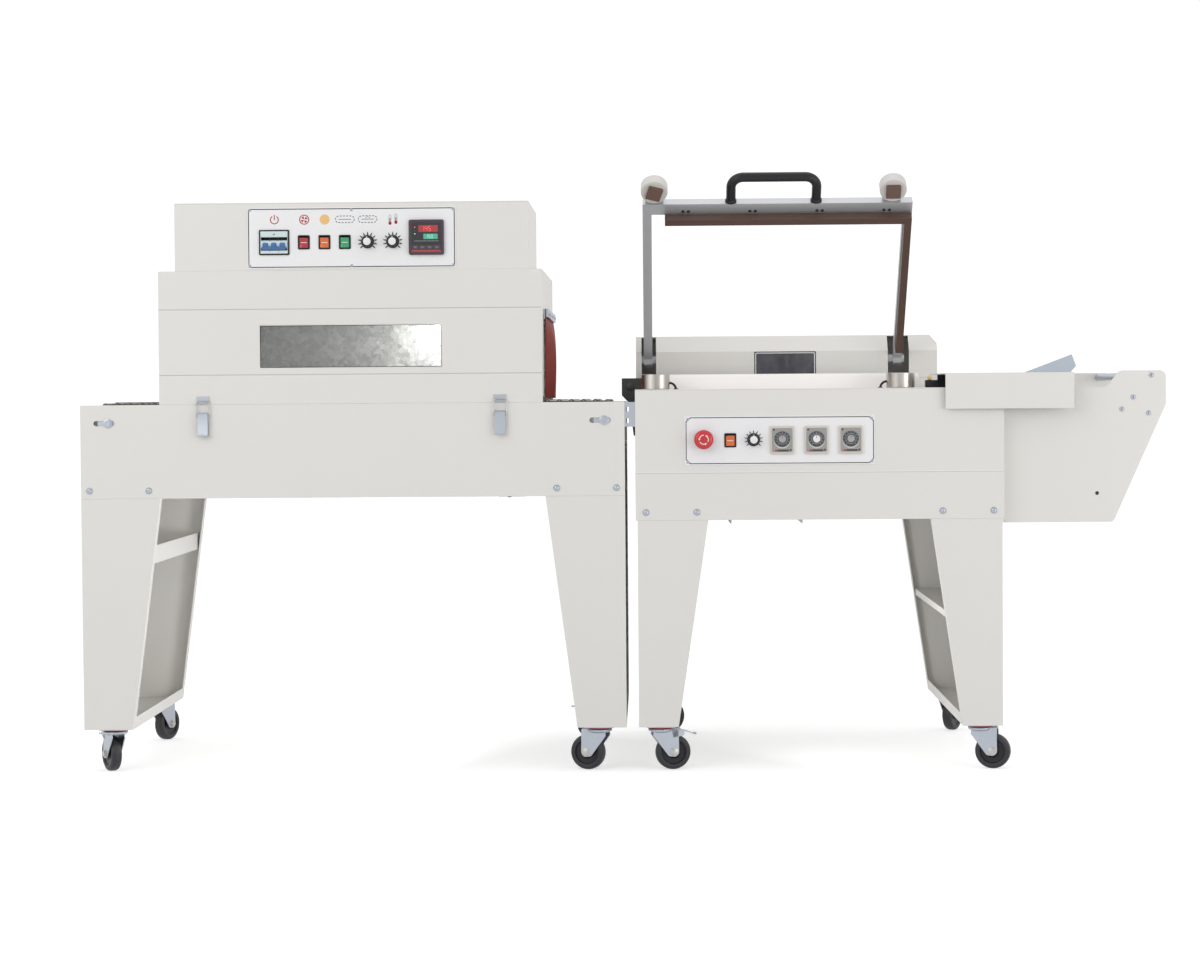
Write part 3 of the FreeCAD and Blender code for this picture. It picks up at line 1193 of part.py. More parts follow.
def film_roller(name, x):
    y0 = FRONT + CRADLE_INSET + SHEET
    y1 = SEAL_REAR - CRADLE_INSET - SHEET
    gap = FILM_HOUSE_T + 2
    drum = rod((x, y0 + gap, FILM_ROLLER_Z), (0, 1, 0), y1 - y0 - 2 * gap, FILM_ROLLER_R, ROUND_SIDES)
    shaft = rod((x, y0 + 4 + GAP, FILM_ROLLER_Z), (0, 1, 0), y1 - y0 - 8 - 2 * GAP, FILM_SHAFT_R)
    save(name, [fuse([drum, shaft])])


# Casters: name, swivel x, swivel y, heading in degrees, brake

CASTER_X = (BED_LEFT + 58.0, BED_RIGHT - 58.0, SEAL_LEFT + 50.0, SEAL_RIGHT - 46.0)
CASTER_IN = 45.0
CASTERS = [
    ("tunnel_front_left", CASTER_X[0], FRONT + CASTER_IN, 120, True),
    ("tunnel_front_right", CASTER_X[1], FRONT + CASTER_IN, 160, False),
    ("tunnel_rear_left", CASTER_X[0], BED_REAR - CASTER_IN, 65, False),
    ("tunnel_rear_right", CASTER_X[1], BED_REAR - CASTER_IN, 180, True),
    ("sealer_front_left", CASTER_X[2], FRONT + CASTER_IN, 10, True),
    ("sealer_front_right", CASTER_X[3], FRONT + CASTER_IN, -15, False),
    ("sealer_rear_left", CASTER_X[2], SEAL_REAR - CASTER_IN, 30, False),
    ("sealer_rear_right", CASTER_X[3], SEAL_REAR - CASTER_IN, 60, False),
]
FORK_TOP = CASTER_H - CASTER_PLATE_T - RACE_H
PEDAL_PIVOT = (44.0, 79.0)
PEDAL_REACH = 32.0
FORK_BOTTOM_R = 11.0
PEDAL_PIN_R = 2.5


def placed(shape, x, y, heading):
    shape.rotate(V(0, 0, 0), V(0, 0, 1), heading)
    shape.translate(V(x, y, 0))
    return shape


def caster_plate(x, y):
    """Top plate, ball race cup and king pin, fixed under a leg."""
    z1 = CASTER_H
    plate = block(-30, 30, -30, 30, z1 - CASTER_PLATE_T, z1)
    race = rod((0, 0, FORK_TOP + GAP), (0, 0, 1), RACE_H - GAP, RACE_R, ROUND_SIDES)
    pin = rod((0, 0, FORK_TOP - 6), (0, 0, 1), 8, KING_R)
    head = rod((0, 0, FORK_TOP - 9), (0, 0, 1), 4.4, 10, BOLT_SIDES)
    return placed(fuse([plate, race, pin, head]), x, y, 0)


def fork_arm():
    """Outline of a fork arm: straight down behind the axle, tapered in front of it, round at the bottom."""
    points = [(-20, FORK_TOP), (TRAIL + FORK_BOTTOM_R - 2, FORK_TOP)]
    for degrees in (-10, -60, -110, -160):
        a = math.radians(degrees)
        points.append((TRAIL + FORK_BOTTOM_R * math.cos(a), WHEEL_R + 2 + FORK_BOTTOM_R * math.sin(a)))
    return points


def caster_fork(name, x, y, heading, brake):
    half = WHEEL_W / 2 + 1.5
    crown = rod((0, 0, FORK_TOP - 4), (0, 0, 1), 4, 27)
    shapes = []
    for s in (-1, 1):
        ya, yb = sorted((s * half, s * (half + FORK_T)))
        shapes.append(plate_xz(fork_arm(), ya, yb))
    if brake:
        px, pz = PEDAL_PIVOT
        ears = [(20, FORK_TOP), (px + 5, pz + 5), (px + 5, pz - 6), (24, FORK_TOP - 20)]
        for s in (-1, 1):
            ya, yb = sorted((s * half, s * (half + FORK_T)))
            shapes.append(plate_xz(ears, ya, yb))
    cap = block(-20, TRAIL + FORK_BOTTOM_R - 2, -half - FORK_T, half + FORK_T, FORK_TOP - 4, FORK_TOP)
    fork = fuse([crown, cap] + shapes)
    tools = [hole((0, 0, FORK_TOP - 5), (0, 0, 1), 6, KING_R + FIT),
             hole((TRAIL, -40, WHEEL_R), (0, 1, 0), 80, AXLE_R)]
    if brake:
        tools.append(hole((PEDAL_PIVOT[0], -40, PEDAL_PIVOT[1]), (0, 1, 0), 80, PEDAL_PIN_R + FIT))
    fork = cut_all(fork, tools)
    reach = half + FORK_T
    axle = rod((TRAIL, -reach, WHEEL_R), (0, 1, 0), 2 * reach, AXLE_R)
    heads = [rod((TRAIL, s * reach, WHEEL_R), (0, s, 0), 4, 8, BOLT_SIDES) for s in (-1, 1)]
    save(name + "_caster_fork", [placed(fork, x, y, heading), placed(fuse([axle] + heads), x, y, heading)])


def caster_wheel(name, x, y, heading):
    w = WHEEL_W / 2
    r = WHEEL_R
    profile = [(r - 5, -w), (r, 6 - w), (r, w - 6), (r - 5, w)]
    wheel = turned((TRAIL, 0, WHEEL_R), (0, 1, 0), profile, ROUND_SIDES)
    wheel = wheel.cut(hole((TRAIL, -w - 2, WHEEL_R), (0, 1, 0), 2 * w + 4, AXLE_R + FIT))
    save(name + "_caster_wheel", [placed(wheel, x, y, heading)])


def brake_pedal(name, x, y, heading):
    px, pz = PEDAL_PIVOT
    half = WHEEL_W / 2 + 1.5 - GAP
    pin = rod((px, -half - FORK_T, pz), (0, 1, 0), 2 * (half + FORK_T), PEDAL_PIN_R)
    tip = px + PEDAL_REACH
    plate = plate_xz([(px - 3, pz + 1.5), (px + 8, pz + 1.5), (tip, pz - 6), (tip, pz - 3.5),
                      (px + 8, pz + 4.5), (px - 3, pz + 4.5)], -half, half)
    body = plate_xz([(px - 4, pz - 3), (px + 4, pz - 3), (px + 6, pz + 4.5), (px - 4, pz + 4.5)], -half, half)
    save(name + "_brake_pedal", [placed(fuse([pin, plate, body]), x, y, heading)])


# Steel fittings fixed to the frames

def leg_bolts():
    parts = []
    rows = ((TUNNEL_LEG_X, BED_LEG_TOP_W, BED_BOTTOM, BED_REAR),
            (SEALER_LEG_X, SEAL_LEG_TOP_W, SEAL_BOTTOM, SEAL_REAR))
    for legs, width, z_bottom, rear in rows:
        for x, sign in legs:
            for bx in leg_bolt_xs(x, sign, width):
                z = z_bottom + BOLT_RISE
                for y, out in ((FRONT, -1), (rear, 1)):
                    head = rod((bx, y, z), (0, out, 0), 5, 7.5)
                    shank = rod((bx, y, z), (0, -out, 0), 8, BOLT_R, BOLT_SIDES)
                    parts.append(fuse([head, shank]))
    return parts


def tension_bolts():
    parts = []
    for x in (IDLER_X, DRIVE_X):
        for y, out in ((FRONT, -1), (BED_REAR, 1)):
            head = rod((x, y, SHAFT_Z), (0, out, 0), 6, 10)
            shank = rod((x, y, SHAFT_Z), (0, -out, 0), SHEET, 5, BOLT_SIDES)
            parts.append(fuse([head, shank]))
    return parts


def joining_bracket():
    """Slotted strap that ties the bed's right end to the sealer's left side."""
    x0, x1 = BED_RIGHT - 18, SEAL_LEFT
    strap = block(x0, x1, FRONT + SHEET, FRONT + SHEET + 3, BED_TOP - 53, BED_TOP - 1)
    cuts = []
    for z in (BED_TOP - 40, BED_TOP - 16):
        cuts.append(block(BED_RIGHT + 3, BED_RIGHT + 9, FRONT, FRONT + 10, z - 5, z + 5))
    return cut_all(strap, cuts)


def steel_fittings():
    parts = leg_bolts() + tension_bolts() + [joining_bracket()]
    for x in LATCH_X:
        parts += latch_plates(x)
    for name, x, y, heading, brake in CASTERS:
        parts.append(caster_plate(x, y))
    y_f = FRONT + CRADLE_INSET
    for x, z in CRADLE_SCREWS:
        head = rod((x, y_f, z), (0, -1, 0), 3, 5.5, BOLT_SIDES)
        shank = rod((x, y_f, z), (0, 1, 0), 12, SCREW_R, BOLT_SIDES)
        parts.append(fuse([head, shank]))
    save("steel_fittings", parts)


leg_frames()
tunnel_bed()
roller_conveyor()
conveyor_shaft("idler_shaft", IDLER_X)
conveyor_shaft("drive_shaft", DRIVE_X)
tunnel_hood()
heating_chamber()
fan_impeller()
hood_window()
exit_curtains()
fascia_plates()
panel_instruments()
for side, lx in zip(("left", "right"), LATCH_X):
    latch_lever(side + "_latch_lever", lx)
    bail(side + "_latch_bail", lx)
sealer_body()
jaw_frame()
seal_bar()
jaw_handle()
seal_base()
rear_cover()
belt_conveyor()
belt_roller("belt_tail_roller", BELT_X[0])
belt_roller("belt_drive_roller", BELT_X[1])
film_cradle()
film_roller("film_roller_inner", FILM_ROLLER_X[0])
film_roller("film_roller_outer", FILM_ROLLER_X[1])
for caster_name, cx, cy, turn, braked in CASTERS:
    caster_fork(caster_name, cx, cy, turn, braked)
    caster_wheel(caster_name, cx, cy, turn)
    if braked:
        brake_pedal(caster_name, cx, cy, turn)
steel_fittings()
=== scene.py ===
import json
import math

import bpy
import numpy as np
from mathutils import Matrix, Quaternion, Vector


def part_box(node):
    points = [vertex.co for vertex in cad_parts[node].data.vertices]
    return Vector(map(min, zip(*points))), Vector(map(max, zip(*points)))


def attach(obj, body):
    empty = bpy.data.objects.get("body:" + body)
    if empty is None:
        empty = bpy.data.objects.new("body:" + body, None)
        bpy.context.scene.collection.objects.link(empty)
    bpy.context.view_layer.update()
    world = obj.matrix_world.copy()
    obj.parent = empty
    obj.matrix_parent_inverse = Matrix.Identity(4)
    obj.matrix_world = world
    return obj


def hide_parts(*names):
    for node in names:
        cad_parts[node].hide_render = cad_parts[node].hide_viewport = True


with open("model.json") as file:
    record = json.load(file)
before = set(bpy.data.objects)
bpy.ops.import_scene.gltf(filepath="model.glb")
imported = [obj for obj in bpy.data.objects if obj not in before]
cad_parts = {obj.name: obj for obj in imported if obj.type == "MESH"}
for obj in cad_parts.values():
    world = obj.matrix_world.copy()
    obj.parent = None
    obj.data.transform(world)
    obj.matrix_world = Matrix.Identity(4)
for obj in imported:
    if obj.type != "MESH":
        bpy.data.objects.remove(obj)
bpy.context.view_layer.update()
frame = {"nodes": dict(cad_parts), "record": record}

# The shrink wrapping line's looks. Metres, in the frame's axes: +X to the right along the line,
# +Y to the rear, +Z up. A surface is a pair of points and faces.

MM = 0.001
TAU = 2 * math.pi

# What the small pieces are set out from, read off the frame
HOOD_LOW, HOOD_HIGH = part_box("tunnel_hood")
BODY_LOW, BODY_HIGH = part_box("sealer_body")
COVER_LOW, COVER_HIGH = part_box("rear_cover")
BODY_OF = {node: body for body, nodes in frame["record"]["behaviour"]["bodies"].items() for node in nodes}
JOINT = {joint["name"]: joint for joint in frame["record"]["behaviour"]["joints"]}


def pivot(joint):
    """A point on the joint's axis."""
    return np.array(JOINT[joint]["pos_m"])


def mm(*sizes):
    """Millimetres, single or in rows, as an array of metres."""
    return np.array(sizes, float) * MM


# Surfaces

def quads(rows, columns, wrap_rows=False, wrap_columns=False):
    """Faces of a grid of points, as arrays of four corners in row order."""
    i = np.arange(rows if wrap_rows else rows - 1)
    j = np.arange(columns if wrap_columns else columns - 1)
    i, j = np.meshgrid(i, j, indexing="ij")
    k, m = (i + 1) % rows, (j + 1) % columns
    faces = np.stack([i * columns + j, i * columns + m, k * columns + m, k * columns + j], -1)
    return faces.reshape(-1, 4)


def tube(rings, closed=False):
    """Skin over rings of points, shape (rings, points, 3), capped at its ends unless it closes on itself."""
    rings = np.asarray(rings, float)
    n, m, _ = rings.shape
    faces = [tuple(f) for f in quads(n, m, closed, True)]
    if not closed:
        faces.append(tuple(range(m))[::-1])
        faces.append(tuple((n - 1) * m + np.arange(m)))
    return outward(rings.reshape(-1, 3), faces)


def outward(points, faces):
    """Faces turned round if the skin's volume, the sum of a . (b x c) over its triangles, is negative."""
    fans = np.array([(f[0], b, c) for f in faces for b, c in zip(f[1:-1], f[2:])])
    a, b, c = points[fans].transpose(1, 0, 2)
    if np.sum(a * np.cross(b, c)) < 0:
        faces = [tuple(f)[::-1] for f in faces]
    return points, faces


def frame_of(axis):
    """The axis as a unit vector, and two more that are square to it and to each other."""
    axis = np.asarray(axis, float) / np.linalg.norm(axis)
    side = np.cross(axis, (0.0, 0.0, 1.0) if abs(axis[2]) < 0.9 else (1.0, 0.0, 0.0))
    side /= np.linalg.norm(side)
    return axis, side, np.cross(side, axis)


def swept_round(place, axis, profile, sides):
    """Rings place + r (cos a u + sin a v) + h axis, one for each (radius, height) of the profile."""
    axis, u, v = frame_of(axis)
    a = np.linspace(0, TAU, sides, endpoint=False)
    ring = np.cos(a)[:, None] * u + np.sin(a)[:, None] * v
    return np.array([np.asarray(place, float) + r * ring + h * axis for r, h in profile])


def turned(place, axis, profile, sides=40):
    """Surface of revolution: the profile swept round the axis through place, with flat ends."""
    return tube(swept_round(place, axis, profile, sides))


def washer(place, axis, profile, sides=40):
    """Ring whose closed (radius, height) outline is swept round the axis and joined to itself."""
    faces = [tuple(f) for f in quads(len(profile), sides, True, True)]
    return outward(swept_round(place, axis, profile, sides).reshape(-1, 3), faces)


def both_ends(profile, length):
    """A profile of (radius, height) followed by its mirror image at the far end of the length."""
    return [*profile, *((r, length - h) for r, h in list(profile)[::-1])]


def rounded(width, height, radius, steps=5):
    """Outline of a rectangle with round corners: four quarter circles joined by straight sides."""
    radius = min(radius, width / 2 - 1e-5, height / 2 - 1e-5)
    a = np.linspace(0, TAU / 4, steps)
    corners = []
    for k, (sx, sz) in enumerate(((1, 1), (-1, 1), (-1, -1), (1, -1))):
        t = a + k * TAU / 4
        corners.append(np.stack([sx * (width / 2 - radius) + radius * np.cos(t),
                                 sz * (height / 2 - radius) + radius * np.sin(t)], -1))
    return np.concatenate(corners)


def slab(place, axis, outline, depth, edge=0.0):
    """Outline carried along an axis from place, with its rim drawn in by edge at the far end."""
    axis, u, v = frame_of(axis)
    outline = np.asarray(outline, float)
    rings = []
    steps = [(0.0, 0.0), (depth - edge, 0.0), (depth - 0.3 * edge, 0.3 * edge), (depth, edge)]
    if not edge:
        steps = [(0.0, 0.0), (depth, 0.0)]
    size = np.abs(outline).max(axis=0)
    for h, inset in steps:
        flat = outline * (1 - inset / size)
        rings.append(np.asarray(place, float) + flat[:, :1] * u + flat[:, 1:] * v + h * axis)
    return tube(rings)


def bar(low, high, edge=0.0):
    """Straight block between two corners, its long rims drawn in by edge."""
    low, high = np.asarray(low, float), np.asarray(high, float)
    w, h = high[0] - low[0], high[2] - low[2]
    middle = (low + high) / 2
    outline = rounded(w, h, max(edge, 1e-5), 3)
    return slab((middle[0], high[1], middle[2]), (0, -1, 0), outline * (-1, 1), high[1] - low[1], edge)


def swept(path, radius, sides=16):
    """Round section carried along a path: each ring keeps the last one's start, turned square to the path."""
    path = np.asarray(path, float)
    along = np.gradient(path, axis=0)
    along /= np.linalg.norm(along, axis=1)[:, None]
    _, u, _ = frame_of(along[0])
    a = np.linspace(0, TAU, sides, endpoint=False)
    rings = []
    for p, t in zip(path, along):
        u = u - t * np.dot(u, t)
        u /= np.linalg.norm(u)
        v = np.cross(t, u)
        rings.append(p + radius * (np.cos(a)[:, None] * u + np.sin(a)[:, None] * v))
    return tube(rings)


def solids_of(node):
    """The node's separate solids as (points, faces): triangles that share an edge only two of them have."""
    mesh = frame["nodes"][node].data
    mesh.calc_loop_triangles()
    points = np.empty(len(mesh.vertices) * 3)
    mesh.vertices.foreach_get("co", points)
    points = points.reshape(-1, 3)
    tris = np.empty(len(mesh.loop_triangles) * 3, int)
    mesh.loop_triangles.foreach_get("vertices", tris)
    keys, index = np.unique(np.round(points * 1e5).astype(np.int64), axis=0, return_inverse=True)
    index = index.reshape(-1)
    tris = index[tris].reshape(-1, 3)
    place = np.zeros((len(keys), 3))
    place[index] = points
    owners = {}
    for t, (a, b, c) in enumerate(tris.tolist()):
        for e in ((a, b), (b, c), (c, a)):
            owners.setdefault((min(e), max(e)), []).append(t)
    near = [[] for _ in tris]
    for group in owners.values():
        if len(group) == 2:
            near[group[0]].append(group[1])
            near[group[1]].append(group[0])
    solid = np.full(len(tris), -1)
    found = []
    for start in range(len(tris)):
        if solid[start] >= 0:
            continue
        solid[start] = len(found)
        reach = [start]
        for t in reach:
            for other in near[t]:
                if solid[other] < 0:
                    solid[other] = len(found)
                    reach.append(other)
        part = tris[reach]
        used, small = np.unique(part, return_inverse=True)
        found.append((place[used], [tuple(f) for f in small.reshape(-1, 3).tolist()]))
    return found


class Piece:
    """One piece of the object, collected from surfaces that may have different finishes."""

    def __init__(self, name, body="frame", slot=None, replaces=()):
        self.name, self.body, self.slot_name, self.replaced = name, body, slot, replaces
        self.points, self.faces, self.finish, self.finishes = [], [], [], []
        self.count = 0

    def add(self, surface, finish):
        """Joins a surface to the piece, in a finish."""
        points, faces = surface
        if finish not in self.finishes:
            self.finishes.append(finish)
        k = self.finishes.index(finish)
        self.points.append(np.asarray(points))
        self.faces += [tuple(int(i) + self.count for i in f) for f in faces]
        self.finish += [k] * len(faces)
        self.count += len(points)
        return self

    def make(self, sharp=32, bevel=0.0):
        """The object: its mesh in the frame's own metres, riding on its body."""
        mesh = bpy.data.meshes.new(self.name)
        mesh.from_pydata(np.concatenate(self.points).tolist(), [], self.faces)
        for finish in self.finishes:
            mesh.materials.append(FINISH[finish])
        mesh.polygons.foreach_set("material_index", self.finish)
        mesh.shade_smooth()
        mesh.set_sharp_from_angle(angle=math.radians(sharp))
        mesh.update()
        obj = bpy.data.objects.new(self.name, mesh)
        bpy.context.scene.collection.objects.link(obj)
        if bevel:
            soften(obj, bevel)
        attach(obj, self.body)
        if self.replaced:
            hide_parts(*self.replaced)
        return obj


def soften(obj, width):
    """Narrow rounded edges, as folded and machined pieces have."""
    mod = obj.modifiers.new("edge", "BEVEL")
    mod.width = width
    mod.segments = 2
    mod.limit_method = "ANGLE"
    mod.angle_limit = math.radians(40)
    mod.use_clamp_overlap = True
    mod.harden_normals = True


def dressed(node, finish_for, slot, extra=(), bevel=0.0):
    """The CAD node's own solids; finish_for(low corner, size) names each solid's finish, or gives None."""
    piece = Piece(node + "_dressed", BODY_OF[node], slot, (node,))
    for points, faces in solids_of(node):
        low, high = points.min(axis=0), points.max(axis=0)
        finish = finish_for(low, high - low)
        if finish:
            piece.add((points, faces), finish)
    for surface, finish in extra:
        piece.add(surface, finish)
    return piece.make(bevel=bevel)


# Shader groups shared by several finishes

def new_group(name, inputs, outputs):
    """Empty shader group with its named sockets."""
    group = bpy.data.node_groups.new(name, "ShaderNodeTree")
    for label, kind, value in inputs:
        socket = group.interface.new_socket(label, in_out="INPUT", socket_type=kind)
        if value is not None:
            socket.default_value = value
    for label, kind in outputs:
        group.interface.new_socket(label, in_out="OUTPUT", socket_type=kind)
    source = group.nodes.new("NodeGroupInput")
    target = group.nodes.new("NodeGroupOutput")
    return group, source, target


def math_node(tree, operation, a, b=None, clamp=False):
    """One sum, each side of it a number or a socket."""
    node = tree.nodes.new("ShaderNodeMath")
    node.operation = operation
    node.use_clamp = clamp
    for k, value in enumerate((a, b)):
        if value is None:
            continue
        if isinstance(value, (int, float)):
            node.inputs[k].default_value = value
        else:
            tree.links.new(value, node.inputs[k])
    return node.outputs[0]


def noise(tree, vector, scale, detail=4.0, rough=0.55):
    """Value noise from nought to one over a place."""
    node = tree.nodes.new("ShaderNodeTexNoise")
    node.inputs["Scale"].default_value = scale
    node.inputs["Detail"].default_value = detail
    node.inputs["Roughness"].default_value = rough
    tree.links.new(vector, node.inputs["Vector"])
    return node.outputs["Fac"]


def object_place(tree):
    """Object coordinates, which are the frame's own."""
    return tree.nodes.new("ShaderNodeTexCoord").outputs["Object"]


def mix_colour(tree, factor, a, b):
    """Colour a where the factor is nought and b where it is one."""
    node = tree.nodes.new("ShaderNodeMix")
    node.data_type = "RGBA"
    for socket, value in ((node.inputs[0], factor), (node.inputs[6], a), (node.inputs[7], b)):
        if isinstance(value, bpy.types.NodeSocket):
            tree.links.new(value, socket)
        else:
            socket.default_value = value
    return node.outputs[2]


def shade_group():
    """Tone: a colour that drifts a little over a hand's width, with faint dust on what faces up."""
    group, source, target = new_group(
        "shop_tone",
        [("Color", "NodeSocketColor", None), ("Drift", "NodeSocketFloat", 0.06),
         ("Dust", "NodeSocketFloat", 0.1), ("Roughness", "NodeSocketFloat", 0.4)],
        [("Color", "NodeSocketColor"), ("Roughness", "NodeSocketFloat")])
    place = object_place(group)
    broad = noise(group, place, 5.0, 3.0)
    fine = noise(group, place, 90.0, 5.0)
    geometry = group.nodes.new("ShaderNodeNewGeometry")
    split = group.nodes.new("ShaderNodeSeparateXYZ")
    group.links.new(geometry.outputs["Normal"], split.inputs[0])
    flat = math_node(group, "MULTIPLY", math_node(group, "MAXIMUM", split.outputs["Z"], 0.0), fine, True)
    dust = math_node(group, "MULTIPLY", flat, source.outputs["Dust"], True)
    swing = math_node(group, "MULTIPLY", math_node(group, "SUBTRACT", broad, 0.5), source.outputs["Drift"])
    hsv = group.nodes.new("ShaderNodeHueSaturation")
    group.links.new(math_node(group, "ADD", swing, 1.0), hsv.inputs["Value"])
    group.links.new(source.outputs["Color"], hsv.inputs["Color"])
    colour = mix_colour(group, dust, hsv.outputs[0], (0.42, 0.40, 0.37, 1))
    group.links.new(colour, target.inputs["Color"])
    spread = math_node(group, "MULTIPLY", math_node(group, "SUBTRACT", fine, 0.5), 0.08)
    duller = math_node(group, "ADD", math_node(group, "MULTIPLY", dust, 0.5), spread)
    rough = math_node(group, "ADD", source.outputs["Roughness"], duller, True)
    group.links.new(rough, target.inputs["Roughness"])
    return group


def peel_group():
    """Height of a sprayed or moulded skin: a fine dimple over a slower ripple."""
    group, source, target = new_group(
        "skin_peel", [("Scale", "NodeSocketFloat", 500.0)], [("Height", "NodeSocketFloat")])
    place = object_place(group)
    scaled = group.nodes.new("ShaderNodeVectorMath")
    scaled.operation = "SCALE"
    group.links.new(place, scaled.inputs[0])
    group.links.new(source.outputs["Scale"], scaled.inputs["Scale"])
    fine = math_node(group, "MULTIPLY", noise(group, scaled.outputs[0], 1.0, 2.0), 0.7)
    slow = math_node(group, "MULTIPLY", noise(group, scaled.outputs[0], 0.12, 2.0), 0.6)
    group.links.new(math_node(group, "ADD", fine, slow), target.inputs["Height"])
    return group


def grain_group():
    """Brushed grain: noise stretched a hundredfold along one direction, as a tone and a height."""
    group, source, target = new_group(
        "brushed_grain",
        [("Stretch", "NodeSocketVector", (1.0, 60.0, 60.0)), ("Color", "NodeSocketColor", None),
         ("Contrast", "NodeSocketFloat", 0.15)],
        [("Color", "NodeSocketColor"), ("Height", "NodeSocketFloat")])
    place = object_place(group)
    scaled = group.nodes.new("ShaderNodeVectorMath")
    scaled.operation = "MULTIPLY"
    group.links.new(place, scaled.inputs[0])
    group.links.new(source.outputs["Stretch"], scaled.inputs[1])
    lines = noise(group, scaled.outputs[0], 25.0, 6.0, 0.7)
    hsv = group.nodes.new("ShaderNodeHueSaturation")
    swing = math_node(group, "MULTIPLY", math_node(group, "SUBTRACT", lines, 0.5), source.outputs["Contrast"])
    group.links.new(math_node(group, "ADD", swing, 1.0), hsv.inputs["Value"])
    group.links.new(source.outputs["Color"], hsv.inputs["Color"])
    group.links.new(hsv.outputs[0], target.inputs["Color"])
    group.links.new(lines, target.inputs["Height"])
    return group


TONE, PEEL, GRAIN = shade_group(), peel_group(), grain_group()
FINISH = {}
DIGIT_GLOW = 0.5


def new_finish(name, colour, roughness, metallic=0.0):
    """Plain material, kept under its name in FINISH."""
    material = bpy.data.materials.new(name)
    material.use_nodes = True
    tree = material.node_tree
    shader = tree.nodes["Principled BSDF"]
    shader.inputs["Base Color"].default_value = (*colour, 1)
    shader.inputs["Roughness"].default_value = roughness
    shader.inputs["Metallic"].default_value = metallic
    FINISH[name] = material
    return tree, shader


def place_group(tree, group, **values):
    """A shared group set in a material with the material's own values."""
    node = tree.nodes.new("ShaderNodeGroup")
    node.node_tree = group
    for label, value in values.items():
        node.inputs[label].default_value = value
    return node


def bump(tree, shader, height, distance, strength=1.0):
    """A height that dents the shader's surface."""
    node = tree.nodes.new("ShaderNodeBump")
    node.inputs["Distance"].default_value = distance
    node.inputs["Strength"].default_value = strength
    tree.links.new(height, node.inputs["Height"])
    tree.links.new(node.outputs[0], shader.inputs["Normal"])


def coated(name, colour, roughness, drift=0.05, dust=0.08, peel=500.0, depth=0.00004, coat=0.0, specular=0.5):
    """Painted or moulded finish: toned colour over a fine peel."""
    tree, shader = new_finish(name, colour, roughness)
    tone = place_group(tree, TONE, Color=(*colour, 1), Drift=drift, Dust=dust, Roughness=roughness)
    tree.links.new(tone.outputs["Color"], shader.inputs["Base Color"])
    tree.links.new(tone.outputs["Roughness"], shader.inputs["Roughness"])
    skin = place_group(tree, PEEL, Scale=peel)
    bump(tree, shader, skin.outputs["Height"], depth)
    shader.inputs["Coat Weight"].default_value = coat
    shader.inputs["Specular IOR Level"].default_value = specular
    return shader


def brushed(name, colour, roughness, stretch, contrast=0.15, depth=0.00003, metallic=1.0):
    """Metal with a grain that runs where stretch is small."""
    tree, shader = new_finish(name, colour, roughness, metallic)
    grain = place_group(tree, GRAIN, Stretch=stretch, Color=(*colour, 1), Contrast=contrast)
    tone = place_group(tree, TONE, Drift=0.08, Dust=0.05, Roughness=roughness)
    tree.links.new(grain.outputs["Color"], tone.inputs["Color"])
    tree.links.new(tone.outputs["Color"], shader.inputs["Base Color"])
    tree.links.new(tone.outputs["Roughness"], shader.inputs["Roughness"])
    bump(tree, shader, grain.outputs["Height"], depth, 0.6)
    return shader


def spangled(name, colour):
    """Zinc coated sheet: flat crystals from a cell pattern, each with its own tone and gloss."""
    tree, shader = new_finish(name, colour, 0.42, 0.85)
    place = object_place(tree)
    cells = tree.nodes.new("ShaderNodeTexVoronoi")
    cells.inputs["Scale"].default_value = 110.0
    tree.links.new(place, cells.inputs["Vector"])
    split = tree.nodes.new("ShaderNodeSeparateColor")
    tree.links.new(cells.outputs["Color"], split.inputs[0])
    broad = noise(tree, place, 9.0, 4.0)
    ramp = tree.nodes.new("ShaderNodeValToRGB")
    ramp.color_ramp.elements[0].color = (*(c * 0.55 for c in colour), 1)
    ramp.color_ramp.elements[1].color = (*(min(1.0, c * 1.35) for c in colour), 1)
    mixed = math_node(tree, "ADD", math_node(tree, "MULTIPLY", split.outputs[0], 0.6),
                      math_node(tree, "MULTIPLY", broad, 0.45))
    tree.links.new(mixed, ramp.inputs[0])
    tree.links.new(ramp.outputs[0], shader.inputs["Base Color"])
    rough = math_node(tree, "ADD", math_node(tree, "MULTIPLY", split.outputs[1], 0.25), 0.3)
    tree.links.new(rough, shader.inputs["Roughness"])
    bump(tree, shader, cells.outputs["Distance"], 0.00005, 0.5)
    return shader


